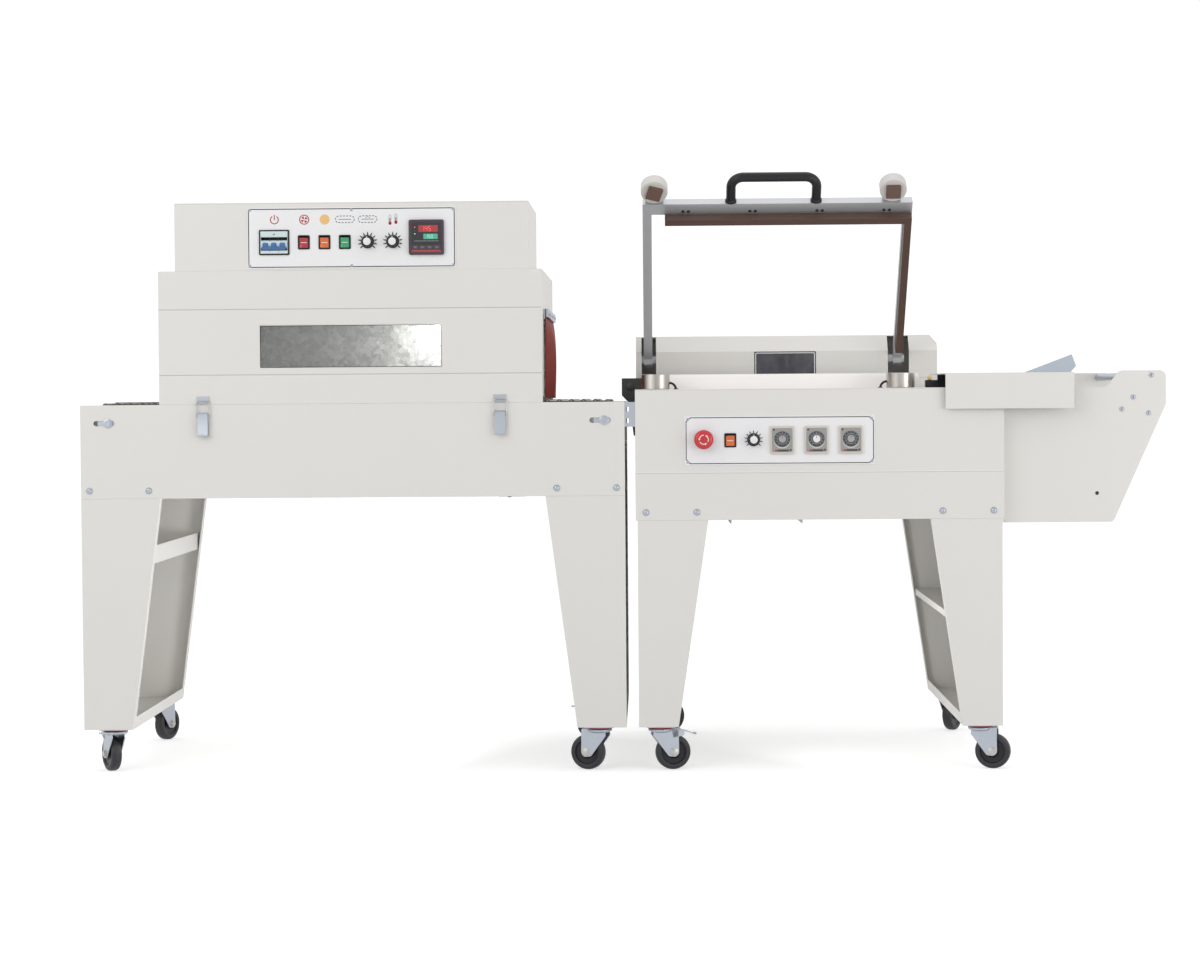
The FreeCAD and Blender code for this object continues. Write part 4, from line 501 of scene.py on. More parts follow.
def make_finishes():
    """Paints, inks and mouldings, then glowing digits, metals, zinc and glass."""
    coated("warm_paint", (0.735, 0.722, 0.690), 0.38, drift=0.03, dust=0.05, peel=700.0, depth=0.00002)
    coated("panel_film", (0.82, 0.82, 0.83), 0.30, drift=0.02, dust=0.0, peel=300.0, depth=0.00001)
    # Print, and the painted shade in the screws' cross cuts and in the cradle's shaft hole.
    coated("ink_black", (0.012, 0.012, 0.014), 0.5, dust=0.0)
    coated("ink_grey", (0.06, 0.06, 0.07), 0.5, dust=0.0)
    coated("ink_red", (0.42, 0.05, 0.05), 0.5, dust=0.0)
    coated("ink_amber", (0.80, 0.50, 0.20), 0.5, dust=0.0)
    coated("black_plastic", (0.009, 0.009, 0.012), 0.36, dust=0.03, peel=900.0, specular=0.35)
    coated("black_gloss", (0.008, 0.008, 0.012), 0.16, dust=0.02, peel=200.0, depth=0.00001, coat=0.4)
    coated("grey_plastic", (0.075, 0.08, 0.09), 0.4, dust=0.02)
    coated("dial_plastic", (0.05, 0.055, 0.065), 0.42, dust=0.02)
    coated("bezel_grey", (0.30, 0.31, 0.31), 0.42, dust=0.02)
    coated("beige_plastic", (0.62, 0.57, 0.49), 0.45, dust=0.03)
    coated("white_nylon", (0.62, 0.60, 0.575), 0.42, dust=0.03, peel=300.0)
    coated("white_silicone", (0.92, 0.90, 0.885), 0.5, dust=0.0)
    coated("pale_cyan_plastic", (0.62, 0.72, 0.74), 0.3, dust=0.0)
    coated("blue_plastic", (0.045, 0.16, 0.40), 0.3, dust=0.0)
    coated("red_plastic", (0.55, 0.012, 0.02), 0.28, dust=0.0, coat=0.3)
    coated("red_seal", (0.36, 0.02, 0.02), 0.5, dust=0.05)
    coated("wheel_rubber", (0.016, 0.016, 0.02), 0.5, drift=0.1, dust=0.18, peel=350.0, depth=0.00008)
    coated("brown_ptfe", (0.078, 0.040, 0.027), 0.5, drift=0.14, dust=0.03, peel=420.0, depth=0.00006)
    coated("brown_plate", (0.13, 0.075, 0.055), 0.42, drift=0.1, dust=0.03)
    coated("red_silicone", (0.23, 0.032, 0.024), 0.62, drift=0.12, dust=0.03, peel=260.0, depth=0.00006,
           specular=0.18)
    coated("belt_skin", (0.80, 0.80, 0.78), 0.5, drift=0.03, dust=0.03, peel=900.0, depth=0.00006)
    # Print, and the painted highlight across each rocker paddle.
    coated("ink_white", (0.78, 0.78, 0.76), 0.45, dust=0.0)
    coated("ink_pale", (0.42, 0.43, 0.44), 0.5, dust=0.0)
    # Painted shade: the grey of the lines that stand for the shadow in the hood's folds and the sealer's
    # seam.
    coated("joint_grey", (0.46, 0.45, 0.43), 0.5, dust=0.0)
    # White caps, and also the painted highlight along the sheet joints and round the window's edge.
    coated("cap_white", (0.80, 0.80, 0.78), 0.4, dust=0.0)
    coated("cap_grey", (0.36, 0.37, 0.38), 0.4, dust=0.0)
    coated("controller_plastic", (0.055, 0.035, 0.05), 0.35, dust=0.0)
    coated("black_paint", (0.018, 0.018, 0.02), 0.4, dust=0.08)
    coated("film_edge_steel", (0.50, 0.56, 0.64), 0.34, drift=0.04, dust=0.02)
    coated("screen_red", (0.42, 0.03, 0.04), 0.22, dust=0.0, coat=0.3)
    coated("screen_green", (0.10, 0.42, 0.30), 0.22, dust=0.0, coat=0.3)
    for name, colour in (("lamp_red", (0.45, 0.01, 0.02)), ("lamp_orange", (0.72, 0.13, 0.015)),
                         ("lamp_green", (0.02, 0.33, 0.12))):
        coated(name, colour, 0.2, dust=0.0, coat=0.4)
    for name, colour in (("digit_red", (0.9, 0.12, 0.12)), ("digit_green", (0.2, 0.85, 0.5))):
        shader = coated(name, colour, 0.2, dust=0.0, coat=0.4)
        shader.inputs["Emission Color"].default_value = (*colour, 1)
        shader.inputs["Emission Strength"].default_value = DIGIT_GLOW
    brushed("zinc_plate", (0.42, 0.45, 0.50), 0.36, (60.0, 60.0, 8.0), 0.14)
    brushed("bright_steel", (0.47, 0.46, 0.44), 0.32, (60.0, 60.0, 2.0), 0.18)
    brushed("turned_steel", (0.46, 0.435, 0.40), 0.3, (2.6, 2.6, 0.1), 1.3, depth=0.000004)
    brushed("satin_aluminium", (0.50, 0.51, 0.53), 0.42, (2.0, 60.0, 60.0), 0.08, metallic=0.7)
    brushed("bar_steel", (0.15, 0.145, 0.14), 0.36, (40.0, 2.0, 40.0), 0.3)
    brushed("heater_tube", (0.22, 0.20, 0.19), 0.45, (4.0, 40.0, 40.0), 0.3)
    brushed("dark_steel", (0.10, 0.10, 0.105), 0.45, (60.0, 2.0, 60.0), 0.2)
    brushed("chain_steel", (0.085, 0.082, 0.08), 0.42, (40.0, 40.0, 40.0), 0.3)
    brushed("dark_mirror", (0.085, 0.085, 0.095), 0.2, (1.2, 1.2, 0.6), 1.9, depth=0.000002)
    brushed("brass", (0.66, 0.46, 0.16), 0.32, (50.0, 3.0, 50.0), 0.2)
    spangled("spangled_zinc", (0.56, 0.56, 0.53))
    # The whitish colour, at a tenth of its strength, lays a pale haze over the window: painted reflection.
    # The smear bump is the glass's own.
    tree, shader = new_finish("window_glass", (0.86, 0.90, 0.89), 0.04)
    shader.inputs["Alpha"].default_value = 0.1
    smear = noise(tree, object_place(tree), 14.0, 3.0)
    bump(tree, shader, smear, 0.00002, 0.3)


make_finishes()


# Flat outlines and what is carried from them

def laid(outline, height, across):
    """A flat outline's points set at one height along the axis that it is carried across."""
    outline = np.asarray(outline, float)
    level = np.full(len(outline), height)
    columns = {"x": (level, outline[:, 0], outline[:, 1]), "y": (outline[:, 0], level, outline[:, 1]),
               "z": (outline[:, 0], outline[:, 1], level)}
    return np.column_stack(columns[across])


def prism(outline, low, high, across="y"):
    """Flat outline carried straight from low to high."""
    return tube([laid(outline, low, across), laid(outline, high, across)])


def rim(outer, inner, low, high, across="y"):
    """Wall between two outlines with as many points each, carried straight from low to high."""
    rings = [laid(outline, level, across)
             for outline, level in ((outer, low), (outer, high), (inner, high), (inner, low))]
    faces = [tuple(f) for f in quads(4, len(outer), True, True)]
    return outward(np.concatenate(rings), faces)


def bezel(x, z, y, outer, inner, depth, edge):
    """Frame round an opening: a section with drawn-in rims, between outlines of (width, height, radius)."""
    (w, h, r), (a, b, q) = outer, inner
    rise, drawn = depth - edge, 2 * edge
    section = [(rounded(w, h, r), 0), (rounded(w, h, r), rise), (rounded(w - drawn, h - drawn, r), depth),
               (rounded(a + drawn, b + drawn, q), depth), (rounded(a, b, q), rise), (rounded(a, b, q), 0)]
    rings = [laid(outline + (x, z), y - out, "y") for outline, out in section]
    faces = [tuple(f) for f in quads(len(rings), len(rings[0]), True, True)]
    return outward(np.concatenate(rings), faces)


def filleted(corners, radii, steps=6):
    """Outline whose corners give way to arcs: each centre lies r / sin(half the angle) along the bisector."""
    corners = np.asarray(corners, float)
    points = []
    for k, r in enumerate(radii):
        p = corners[k]
        if not r:
            points.append(p[None])
            continue
        u, v = corners[k - 1] - p, corners[(k + 1) % len(corners)] - p
        u, v = u / np.linalg.norm(u), v / np.linalg.norm(v)
        half = 0.5 * math.acos(float(np.clip(np.dot(u, v), -1, 1)))
        middle = p + (u + v) / np.linalg.norm(u + v) * r / math.sin(half)
        start, end = p + u * r / math.tan(half) - middle, p + v * r / math.tan(half) - middle
        a, b = math.atan2(start[1], start[0]), math.atan2(end[1], end[0])
        turn = (b - a + math.pi) % TAU - math.pi
        t = a + turn * np.linspace(0, 1, steps)
        points.append(middle + r * np.stack([np.cos(t), np.sin(t)], -1))
    return np.concatenate(points)


def circle(r, sides=32):
    """Outline of r (cos a, sin a)."""
    a = np.linspace(0, TAU, sides, endpoint=False)
    return r * np.stack([np.cos(a), np.sin(a)], -1)


def arc_band(r0, r1, from_deg, to_deg, steps=18):
    """Outline of a band between two radii from one angle to another."""
    a = np.radians(np.linspace(from_deg, to_deg, steps))
    ray = np.stack([np.cos(a), np.sin(a)], -1)
    return np.concatenate([r1 * ray, r0 * ray[::-1]])


def stroke(p, q, width, end_width=None):
    """Outline of a straight line between two points, tapered where its end has a width of its own."""
    p, q = np.asarray(p, float), np.asarray(q, float)
    along = (q - p) / np.linalg.norm(q - p)
    side = np.array([-along[1], along[0]])
    a, b = width / 2, (width if end_width is None else end_width) / 2
    return np.array([p - a * side, q - b * side, q + b * side, p + a * side])


def racetrack(r, xa, xb, z, steps=24):
    """Outline of a belt round two equal pulleys: a half circle at each end."""
    a = np.linspace(-TAU / 4, TAU / 4, steps)
    right = np.stack([xb + r * np.cos(a), z + r * np.sin(a)], -1)
    left = np.stack([xa - r * np.cos(a), z - r * np.sin(a)], -1)
    return np.concatenate([right, left])


def spun(outline, degrees):
    """A flat outline turned about its own origin."""
    c, s = math.cos(math.radians(degrees)), math.sin(math.radians(degrees))
    return np.asarray(outline, float) @ np.array([[c, s], [-s, c]])


def moved(surface, change):
    """A surface whose points are all put through a change."""
    points, faces = surface
    return change(np.asarray(points, float)), faces


def about_x(place, degrees):
    """Change that turns points about the line through place along +X."""
    c, s = math.cos(math.radians(degrees)), math.sin(math.radians(degrees))

    def change(points):
        dy, dz = points[:, 1] - place[1], points[:, 2] - place[2]
        return np.column_stack([points[:, 0], place[1] + c * dy - s * dz, place[2] + s * dy + c * dz])
    return change


def finish_node(node, finish, bevel=0.0):
    """A finish straight on a CAD node, its loose triangles welded and its edges softened by modifiers."""
    obj = frame["nodes"][node]
    obj.data.materials.clear()
    obj.data.materials.append(FINISH[finish])
    weld = obj.modifiers.new("weld", "WELD")
    weld.merge_threshold = 1e-5
    if bevel:
        soften(obj, bevel)
    return obj


# Painted sheet metal

SHEET_EDGE = 0.7 * MM
FOLDS = ((HOOD_LOW.z + 61.2 * MM, 1.5 * MM), (HOOD_LOW.z + 199.2 * MM, 3.0 * MM))
SEAM_Z = BODY_LOW.z + 110 * MM
WINDOW_W, WINDOW_H = 386 * MM, 92 * MM


def all_in(finish):
    """The same finish for every solid of a node."""
    return lambda *_: finish


def sealer_finish(_, size):
    """Dark transformer, zinc inner brackets, painted casings."""
    if 70 * MM < size[2] < 90 * MM and size[0] < 130 * MM:
        return "dark_steel"
    bracket = size[2] < 45 * MM and size[1] > 150 * MM and size[0] < 200 * MM
    return "zinc_plate" if bracket else "warm_paint"


def bed_finish(_, size):
    """Zinc shaft blocks and dark motor, painted panels."""
    if size[0] < 120 * MM and size[1] < 200 * MM:
        return "zinc_plate" if size[1] < 20 * MM else "dark_steel"
    return "warm_paint"


def cover_finish(_, size):
    """Zinc hinge posts, painted cover."""
    post = size[1] <= 50 * MM and 15 * MM <= size[0] <= 30 * MM
    return "zinc_plate" if post else "warm_paint"


def dress_sheet_metal():
    """Painted casings and frames, then the nodes that keep the CAD's own mesh."""
    painted = all_in("warm_paint")
    for node, finish_for in (("leg_frames", painted), ("tunnel_hood", painted),
                             ("sealer_body", sealer_finish), ("tunnel_bed", bed_finish),
                             ("rear_cover", cover_finish)):
        dressed(node, finish_for, "painted_sheet", bevel=SHEET_EDGE)
    finish_node("fan_impeller", "spangled_zinc")
    finish_node("hood_window", "window_glass")
    finish_node("drive_shaft", "bright_steel", 0.3 * MM)
    finish_node("idler_shaft", "bright_steel", 0.3 * MM)


def joint_light_and_shade():
    """Painted light and shade along the joints, over each step of the hood front and between the sealer's two
    casings: grey bars are painted shade, white bars painted highlight.

    A joint is bars along the front, in millimetres behind it from and to, and above the joint from and to.
    """
    # Grey bars are painted shade in the joint, white bars painted highlight on the edge beside it.
    fold = ((-0.12, 0.2, 0.0, 1.7, "joint_grey"), (-1.42, -1.2, -3.8, -2.2, "cap_white"))
    seam = ((-0.12, 0.2, -0.2, 1.6, "cap_white"), (-0.12, 0.2, -1.2, -0.2, "joint_grey"))
    joints = [(HOOD_LOW, HOOD_HIGH, HOOD_LOW.y + back, z, fold) for z, back in FOLDS]
    joints.append((BODY_LOW, BODY_HIGH, BODY_LOW.y, SEAM_Z, seam))
    piece = Piece("sheet_joints", "frame", "painted_sheet")
    for low, high, front, z, bars in joints:
        for near, far, under, over, finish in bars:
            piece.add(bar((low.x + MM, front + near * MM, z + under * MM),
                          (high.x - MM, front + far * MM, z + over * MM)), finish)
    piece.make()


# Heated chamber behind the window

FAN_MOTOR_Z = HOOD_HIGH.z - 150 * MM


def window_rim():
    """Turned-in edge of the window opening, drawn whiter than the paint as painted highlight, and a black
    ring of painted shade round the sunk glass: walls between rounded rectangles.
    """
    low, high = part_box("hood_window")
    middle, glass = ((low.x + high.x) / 2, (low.z + high.z) / 2), low.y
    edge, lip, shade_ring_inner = [rounded(WINDOW_W - drawn * MM, WINDOW_H - drawn * MM, r * MM) + middle
                         for drawn, r in ((0.2, 1.5), (3, 1), (5.5, 1))]
    piece = Piece("window_rim", "frame", "painted_sheet")
    # Whiter than the paint: painted highlight on the lit edge.
    piece.add(rim(edge, lip, glass - 1.4 * MM, glass - 0.1 * MM), "cap_white")
    # Black ring: painted shade where the glass sits back.
    piece.add(rim(lip, shade_ring_inner, glass - 0.9 * MM, glass - 0.1 * MM), "black_plastic")
    piece.make()


def is_long(size):
    """Heater tubes and the sheets that run the chamber's length."""
    return size[0] > 400 * MM and size[2] < 20 * MM


def is_fan_motor(low, size):
    """The motor's case, the only tall narrow solid under the hood's top."""
    return low[2] > FAN_MOTOR_Z and size[2] > 80 * MM and size[0] < 100 * MM


def chamber_finish(low, size):
    """Zinc coated sheets; heater tubes and the motor's case are turned anew."""
    is_tube = is_long(size) and size[1] < 20 * MM
    return None if is_tube or is_fan_motor(low, size) else "spangled_zinc"


def chamber():
    """Liner sheets from the CAD, a round tube along each long solid, and a motor case with nine fins."""
    extra = []
    for points, _ in solids_of("heating_chamber"):
        low, high = points.min(axis=0), points.max(axis=0)
        size, middle = high - low, (low + high) / 2
        if is_long(size):
            profile = both_ends(mm((4.2, 0), (5, 1)), size[0])
            extra.append((turned((low[0], middle[1], middle[2]), (1, 0, 0), profile, 16), "heater_tube"))
        elif is_fan_motor(low, size):
            r = size[0] / 2
            profile = [(0.88 * r, 0)]
            for z in (6 + 8 * np.arange(9)) * MM:
                profile += [(0.88 * r, z), (r, z + MM), (r, z + 3 * MM), (0.88 * r, z + 4 * MM)]
            profile += [(0.88 * r, size[2] - 2 * MM), (0.8 * r, size[2])]
            extra.append((turned((middle[0], middle[1], low[2]), (0, 0, 1), profile, 36), "dark_steel"))
    dressed("heating_chamber", chamber_finish, "galvanised_sheet", extra)


# Roller-bar conveyor

PITCH = 12.7 * MM
TEETH = 19
CHAIN_HALF_W = 4.7 * MM
PLATE_HALF_H = 2.4 * MM
BAR_R = 6.5 * MM
BAR_END_R = 2.5 * MM
LINK_ROLLER_R = 3.6 * MM
LINK_ROLLER_W = 4.8 * MM
# Inner and outer link plates: from and to, in millimetres off the chain's middle, and their first link
LINK_PLATES = ((2.5, 3.5, 0), (3.6, 4.6, 1))


def chain_place(s):
    """Points at distances s along the chain's line: two straight runs, and half circles round the shafts."""
    drive, idler = pivot("drive_shaft_turn"), pivot("idler_shaft_turn")
    r = PITCH / (2 * math.sin(math.pi / TEETH))
    span = drive[0] - idler[0]
    bend = math.pi * r
    s = np.mod(s, 2 * (span + bend))
    runs = [s < span, s < span + bend, s < 2 * span + bend]
    down, up = (s - span) / r, (s - 2 * span - bend) / r
    x = np.select(runs, [idler[0] + s, drive[0] + r * np.sin(down), drive[0] - (s - span - bend)],
                  idler[0] - r * np.sin(up))
    z = np.select(runs, [drive[2] + r + 0 * s, drive[2] + r * np.cos(down), drive[2] - r + 0 * s],
                  drive[2] - r * np.cos(up))
    return np.stack([x, z], -1), 2 * (span + bend)


def repeated(surface, places, ahead=None):
    """One surface copied to every place in the XZ plane, its +X side turned to each unit vector of ahead."""
    (x, y, z), faces = np.asarray(surface[0]).T, surface[1]
    count = len(places)
    c, s = (np.ones(count), np.zeros(count)) if ahead is None else ahead.T
    copies = np.stack([places[:, :1] + np.outer(c, x) - np.outer(s, z), np.tile(y, (count, 1)),
                       places[:, 1:] + np.outer(s, x) + np.outer(c, z)], -1)
    return copies.reshape(-1, 3), [tuple(i + k * len(x) for i in f) for k in range(count) for f in faces]


def roller_bars(low, high, count, step):
    """Round bars with stepped ends at every second pitch, half way between two pins."""
    y0, y1 = low.y + 2 * CHAIN_HALF_W, high.y - 2 * CHAIN_HALF_W
    end = [(BAR_END_R, 0), (BAR_END_R, 2 * MM), (BAR_R - MM, 2 * MM), (BAR_R, 3 * MM)]
    profile = both_ends(end, y1 - y0)
    places, _ = chain_place((np.arange(count // 2) + 0.5) * 2 * step)
    piece = Piece("roller_bars", "frame", "dark_steel", ("roller_conveyor",))
    piece.add(repeated(turned((0, y0, 0), (0, 1, 0), profile, 14), places), "bar_steel")
    piece.make()


def drive_chains(low, high, count, step):
    """Two chains of rollers on their pins, with inner and outer link plates in turn."""
    pins, _ = chain_place(np.arange(count) * step)
    ahead = np.roll(pins, -1, axis=0) - pins
    ahead /= np.linalg.norm(ahead, axis=1)[:, None]
    plate = racetrack(PLATE_HALF_H, 0, PITCH, 0, 5)
    piece = Piece("drive_chains", "frame", "dark_steel", ("roller_conveyor",))
    for middle in (low.y + CHAIN_HALF_W, high.y - CHAIN_HALF_W):
        roller = turned((0, middle - LINK_ROLLER_W / 2, 0), (0, 1, 0),
                        [(LINK_ROLLER_R, 0), (LINK_ROLLER_R, LINK_ROLLER_W)], 8)
        piece.add(repeated(roller, pins), "bright_steel")
        for near, far, first in LINK_PLATES:
            for side in (-1, 1):
                link = prism(plate, middle + side * near * MM, middle + side * far * MM)
                piece.add(repeated(link, pins[first::2], ahead[first::2]), "chain_steel")
    piece.make()


def conveyor():
    """Bars and chains on an even number of equal links that closes on itself."""
    low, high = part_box("roller_conveyor")
    _, total = chain_place(np.zeros(1))
    count = 2 * round(total / PITCH / 2)
    roller_bars(low, high, count, total / count)
    drive_chains(low, high, count, total / count)


def spin_roller(node):
    """Smooth drum with stepped shaft ends, from the node's box: the drum's radius is half its height."""
    low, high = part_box(node)
    middle = (low + high) / 2
    r = (high.z - low.z) / 2
    end, shaft = mm(8, 6) if node.startswith("belt") else mm(10, 8)
    profile = both_ends([(shaft, 0), (shaft, end), (r - MM, end), (r, end + MM)], high.y - low.y)
    drum = Piece(node + "_drum", BODY_OF[node], "aluminium_bar", (node,))
    drum.add(turned((middle.x, low.y, middle.z), (0, 1, 0), profile, 48), "satin_aluminium")
    drum.make()


def discharge_belt():
    """Belt as a band round its two rollers, its slider bed and its black side plates."""
    low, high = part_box("belt_conveyor")
    tail, drive = pivot("belt_tail_turn"), pivot("belt_drive_turn")
    radius = high.z - MM - tail[2]
    outer, inner = [racetrack(r, tail[0], drive[0], tail[2]) for r in (radius, radius - 2 * MM)]
    piece = Piece("discharge_belt", "frame", "white_belt", ("belt_conveyor",))
    piece.add(rim(outer, inner, low.y + 9 * MM, high.y - 9 * MM), "belt_skin")
    for x in (tail[0], drive[0]):
        cap = turned((x, low.y - 0.1 * MM, tail[2]), (0, -1, 0), mm((9, 0), (9, 1.2), (8, 1.8)), 28)
        piece.add(cap, "black_paint")
    for points, faces in solids_of("belt_conveyor"):
        size = np.ptp(points, axis=0)
        if size[1] < 20 * MM and size[2] > 50 * MM:
            piece.add((points, faces), "black_paint")
        elif size[2] < 10 * MM:
            piece.add((points, faces), "spangled_zinc")
    piece.make(bevel=0.4 * MM)


# Silicone curtains at both ends of the hood

STRIPS = 7
STRIP_T = 2 * MM
STRIP_GAP = 1 * MM
CLAMP_H = 22 * MM
# Clamp bars before and behind the strips: from and to off the wall, and height, in millimetres
CLAMP_BARS = ((0.0, 3.0, 22.0), (5.0, 10.0, 18.0))
CLAMP_BOLTS = 5


def strip_surface(ya, yb, x_face, side, bulge, z_top, z_low, lean, twist):
    """Hanging strip: for s from 0 to 1 below the clamp, out by bulge (0.7 s^0.8 + 0.6 sin(pi s^0.75))."""
    z = np.concatenate([[z_top], np.linspace(z_top - CLAMP_H, z_low, 26)])
    s = np.clip((z_top - CLAMP_H - z) / (z_top - CLAMP_H - z_low), 0, 1)
    out = bulge * (0.7 * s ** 0.8 + 0.6 * np.sin(math.pi * s ** 0.75))
    v = np.linspace(-1, 1, 7)
    curl = 0.7 * MM * np.outer(s, 1 - v ** 2) + twist * np.outer(s ** 1.5, v)
    near = x_face + side * (3 * MM + out[:, None] * (1 - lean * (1 - v) / 2) + curl)
    y = np.broadcast_to((ya + yb) / 2 + v * (yb - ya) / 2, near.shape)
    level = np.broadcast_to(z[:, None], near.shape)
    inner = np.stack([near, y, level], -1)
    outer = np.stack([near + side * STRIP_T, y, level], -1)
    rings = np.concatenate([inner, outer[:, ::-1]], axis=1)
    length = np.hypot(np.diff(out), np.diff(z)).sum()
    return tube(rings), length


def curtain_clamp(label, x_face, side, low, high):
    """Two flat bars that hold the strips' tops, with bolts along the outer one."""
    clamp = Piece("curtain_clamp_" + label, "frame", "zinc_steel", ("exit_curtains",))
    for near, far, drop in CLAMP_BARS:
        xa, xb = sorted((x_face + side * near * MM, x_face + side * far * MM))
        clamp.add(bar((xa, low.y, high.z - drop * MM), (xb, high.y, high.z), 0.5 * MM), "zinc_plate")
    for k in range(CLAMP_BOLTS):
        y = low.y + (high.y - low.y) * (k + 0.5) / CLAMP_BOLTS
        place = (x_face + side * 10 * MM, y, high.z - 9 * MM)
        clamp.add(domed_bolt(place, (side, 0, 0), 3 * MM, 2.4 * MM), "zinc_plate")
    return clamp.make()


def curtains():
    """A row of strips at each end: the first leans out most, and each bulges a little less than the last."""
    low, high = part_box("exit_curtains")
    span = high.y - low.y
    width = span / STRIPS
    for label, x_face, side, bulge in (("right", HOOD_HIGH.x, 1, 18 * MM),
                                       ("left", HOOD_LOW.x, -1, 8.5 * MM)):
        clamp = curtain_clamp(label, x_face, side, low, high)
        sheet = Piece("curtain_" + label, "frame", "red_silicone", ("exit_curtains",))
        lengths = []
        for k in range(STRIPS):
            sway = (1 - 0.11 * k) * (1 + 0.05 * math.sin(2.4 * k + side))
            lean, twist = 0.97 if k == 0 else 0.1, 0.9 * MM * math.cos(1.7 * k)
            ya, yb = low.y + k * width + STRIP_GAP / 2, low.y + (k + 1) * width - STRIP_GAP / 2
            surface, length = strip_surface(ya, yb, x_face, side, bulge * sway, high.z, low.z, lean,
                                            twist)
            sheet.add(surface, "red_silicone")
            lengths.append(length)
        obj = sheet.make(sharp=50)
        length = sum(lengths) / STRIPS


# Fasteners

def domed_bolt(place, axis, r, height, sides=20):
    """Button head on a thin flange: a quarter ellipse turned round its axis, with a socket in its crown."""
    t = np.linspace(0, TAU / 4, 7)[1:-1]
    profile = [(1.22 * r, 0), (1.22 * r, 0.14 * height), (r, 0.16 * height)]
    profile += [(r * math.cos(a), 0.16 * height + 0.84 * height * math.sin(a)) for a in t]
    profile += [(0.34 * r, height), (0.30 * r, 0.55 * height)]
    return turned(place, axis, profile, sides)


def hex_bolt(place, axis, r, height):
    """Six-sided head whose crown is drawn in at the corners."""
    return turned(place, axis, [(r, 0), (r, 0.85 * height), (0.86 * r, height)], 6)


def cross_screw(place, axis, r, height):
    """Domed head, a turned quarter ellipse, and two black bars across its crown: painted shade for its cross
    cut.
    """
    axis, u, v = frame_of(axis)
    crown = np.asarray(place, float) + axis * height * 0.82
    cut_shades = []
    for a, b in ((u, v), (v, u)):
        corners = [crown + sa * 0.5 * r * a + sb * 0.09 * r * b
                   for sa, sb in ((-1, -1), (1, -1), (1, 1), (-1, 1))]
        cut_shades.append(tube([corners, [c + axis * height * 0.2 for c in corners]]))
    t = np.linspace(0, TAU / 4, 6)[:-1]
    profile = [(r * math.cos(a), height * math.sin(a)) for a in t] + [(0.1 * r, height)]
    return turned(place, axis, profile, 20), cut_shades


def screws(piece, places, axis, r, height, finish="zinc_plate"):
    """The same cross-cut screw at every place."""
    for place in places:
        dome, cut_shades = cross_screw(place, axis, r, height)
        piece.add(dome, finish)
        for cut in cut_shades:
            # Black bars: painted shade of the cross cut.
            piece.add(cut, "ink_black")


SMALL_FITTING = 22 * MM


def fitting_head(points):
    """The washer and bolt, button head or screw that stands for one small CAD solid, each with its finish."""
    low, high = points.min(axis=0), points.max(axis=0)
    size, (x, y, z) = high - low, (low + high) / 2
    out, face = (-1, low[1]) if y < 0 else (1, high[1])
    if size[1] < 10 * MM:
        seat = face - out * 6 * MM
        plate = turned((x, seat, z), (0, out, 0), mm((10, 0), (10, 1.4), (9.2, 1.8)), 28)
        head = hex_bolt((x, seat + out * 1.8 * MM, z), (0, out, 0), 7.4 * MM, 4.2 * MM)
        return [(plate, "zinc_plate"), (head, "zinc_plate")]
    if size[0] > 13 * MM:
        return [(domed_bolt((x, face - out * 5 * MM, z), (0, out, 0), 6.1 * MM, 5 * MM), "zinc_plate")]
    dome, cut_shades = cross_screw((x, face + 3 * MM, z), (0, -1, 0), 5.5 * MM, 3 * MM)
    # The cross cut's black bars are painted shade.
    return [(dome, "zinc_plate")] + [(cut, "ink_black") for cut in cut_shades]


def fittings():
    """Caster plates, latch plates and strap from the CAD; bolts and screws made anew in their places."""
    extra = []
    for points, _ in solids_of("steel_fittings"):
        if np.ptp(points, axis=0).max() <= SMALL_FITTING:
            extra += fitting_head(points)
    dressed("steel_fittings", lambda _, size: "zinc_plate" if size.max() > SMALL_FITTING else None,
            "zinc_steel", extra + seal_rings(), bevel=0.4 * MM)


# Casters, set out along each caster's own heading, side and height

CASTERS = [node[:-len("_caster_fork")] for node in frame["nodes"] if node.endswith("_caster_fork")]
FORK_TOP = 88.3 * MM
TRAIL = 26 * MM
AXLE_Z = 37.5 * MM
FORK_HALF = 13 * MM
FORK_T = 2.5 * MM


def caster_turn(name):
    """Change that sets points of heading, side and height into the frame."""
    swivel, side = pivot(name + "_swivel"), np.array(JOINT[name + "_roll"]["axis"])
    ahead = np.array([side[1], -side[0], 0.0])

    def change(points):
        """Points given by heading, side and height, in the frame."""
        level = swivel * (1, 1, 0) + points[:, :1] * ahead + points[:, 1:2] * side
        return level + points[:, 2:] * (0, 0, 1)
    return change


def seal_rings():
    """Dirt seals of the swivels: a red lip round each ball race, just over the fork."""
    profile = mm((24.6, 88.75), (26.0, 88.75), (26.3, 89.6), (25.6, 91.2), (24.6, 91.2))
    feet = [(*pivot(name + "_swivel")[:2], 0) for name in CASTERS]
    return [(washer(foot, (0, 0, 1), profile, 36), "red_seal") for foot in feet]


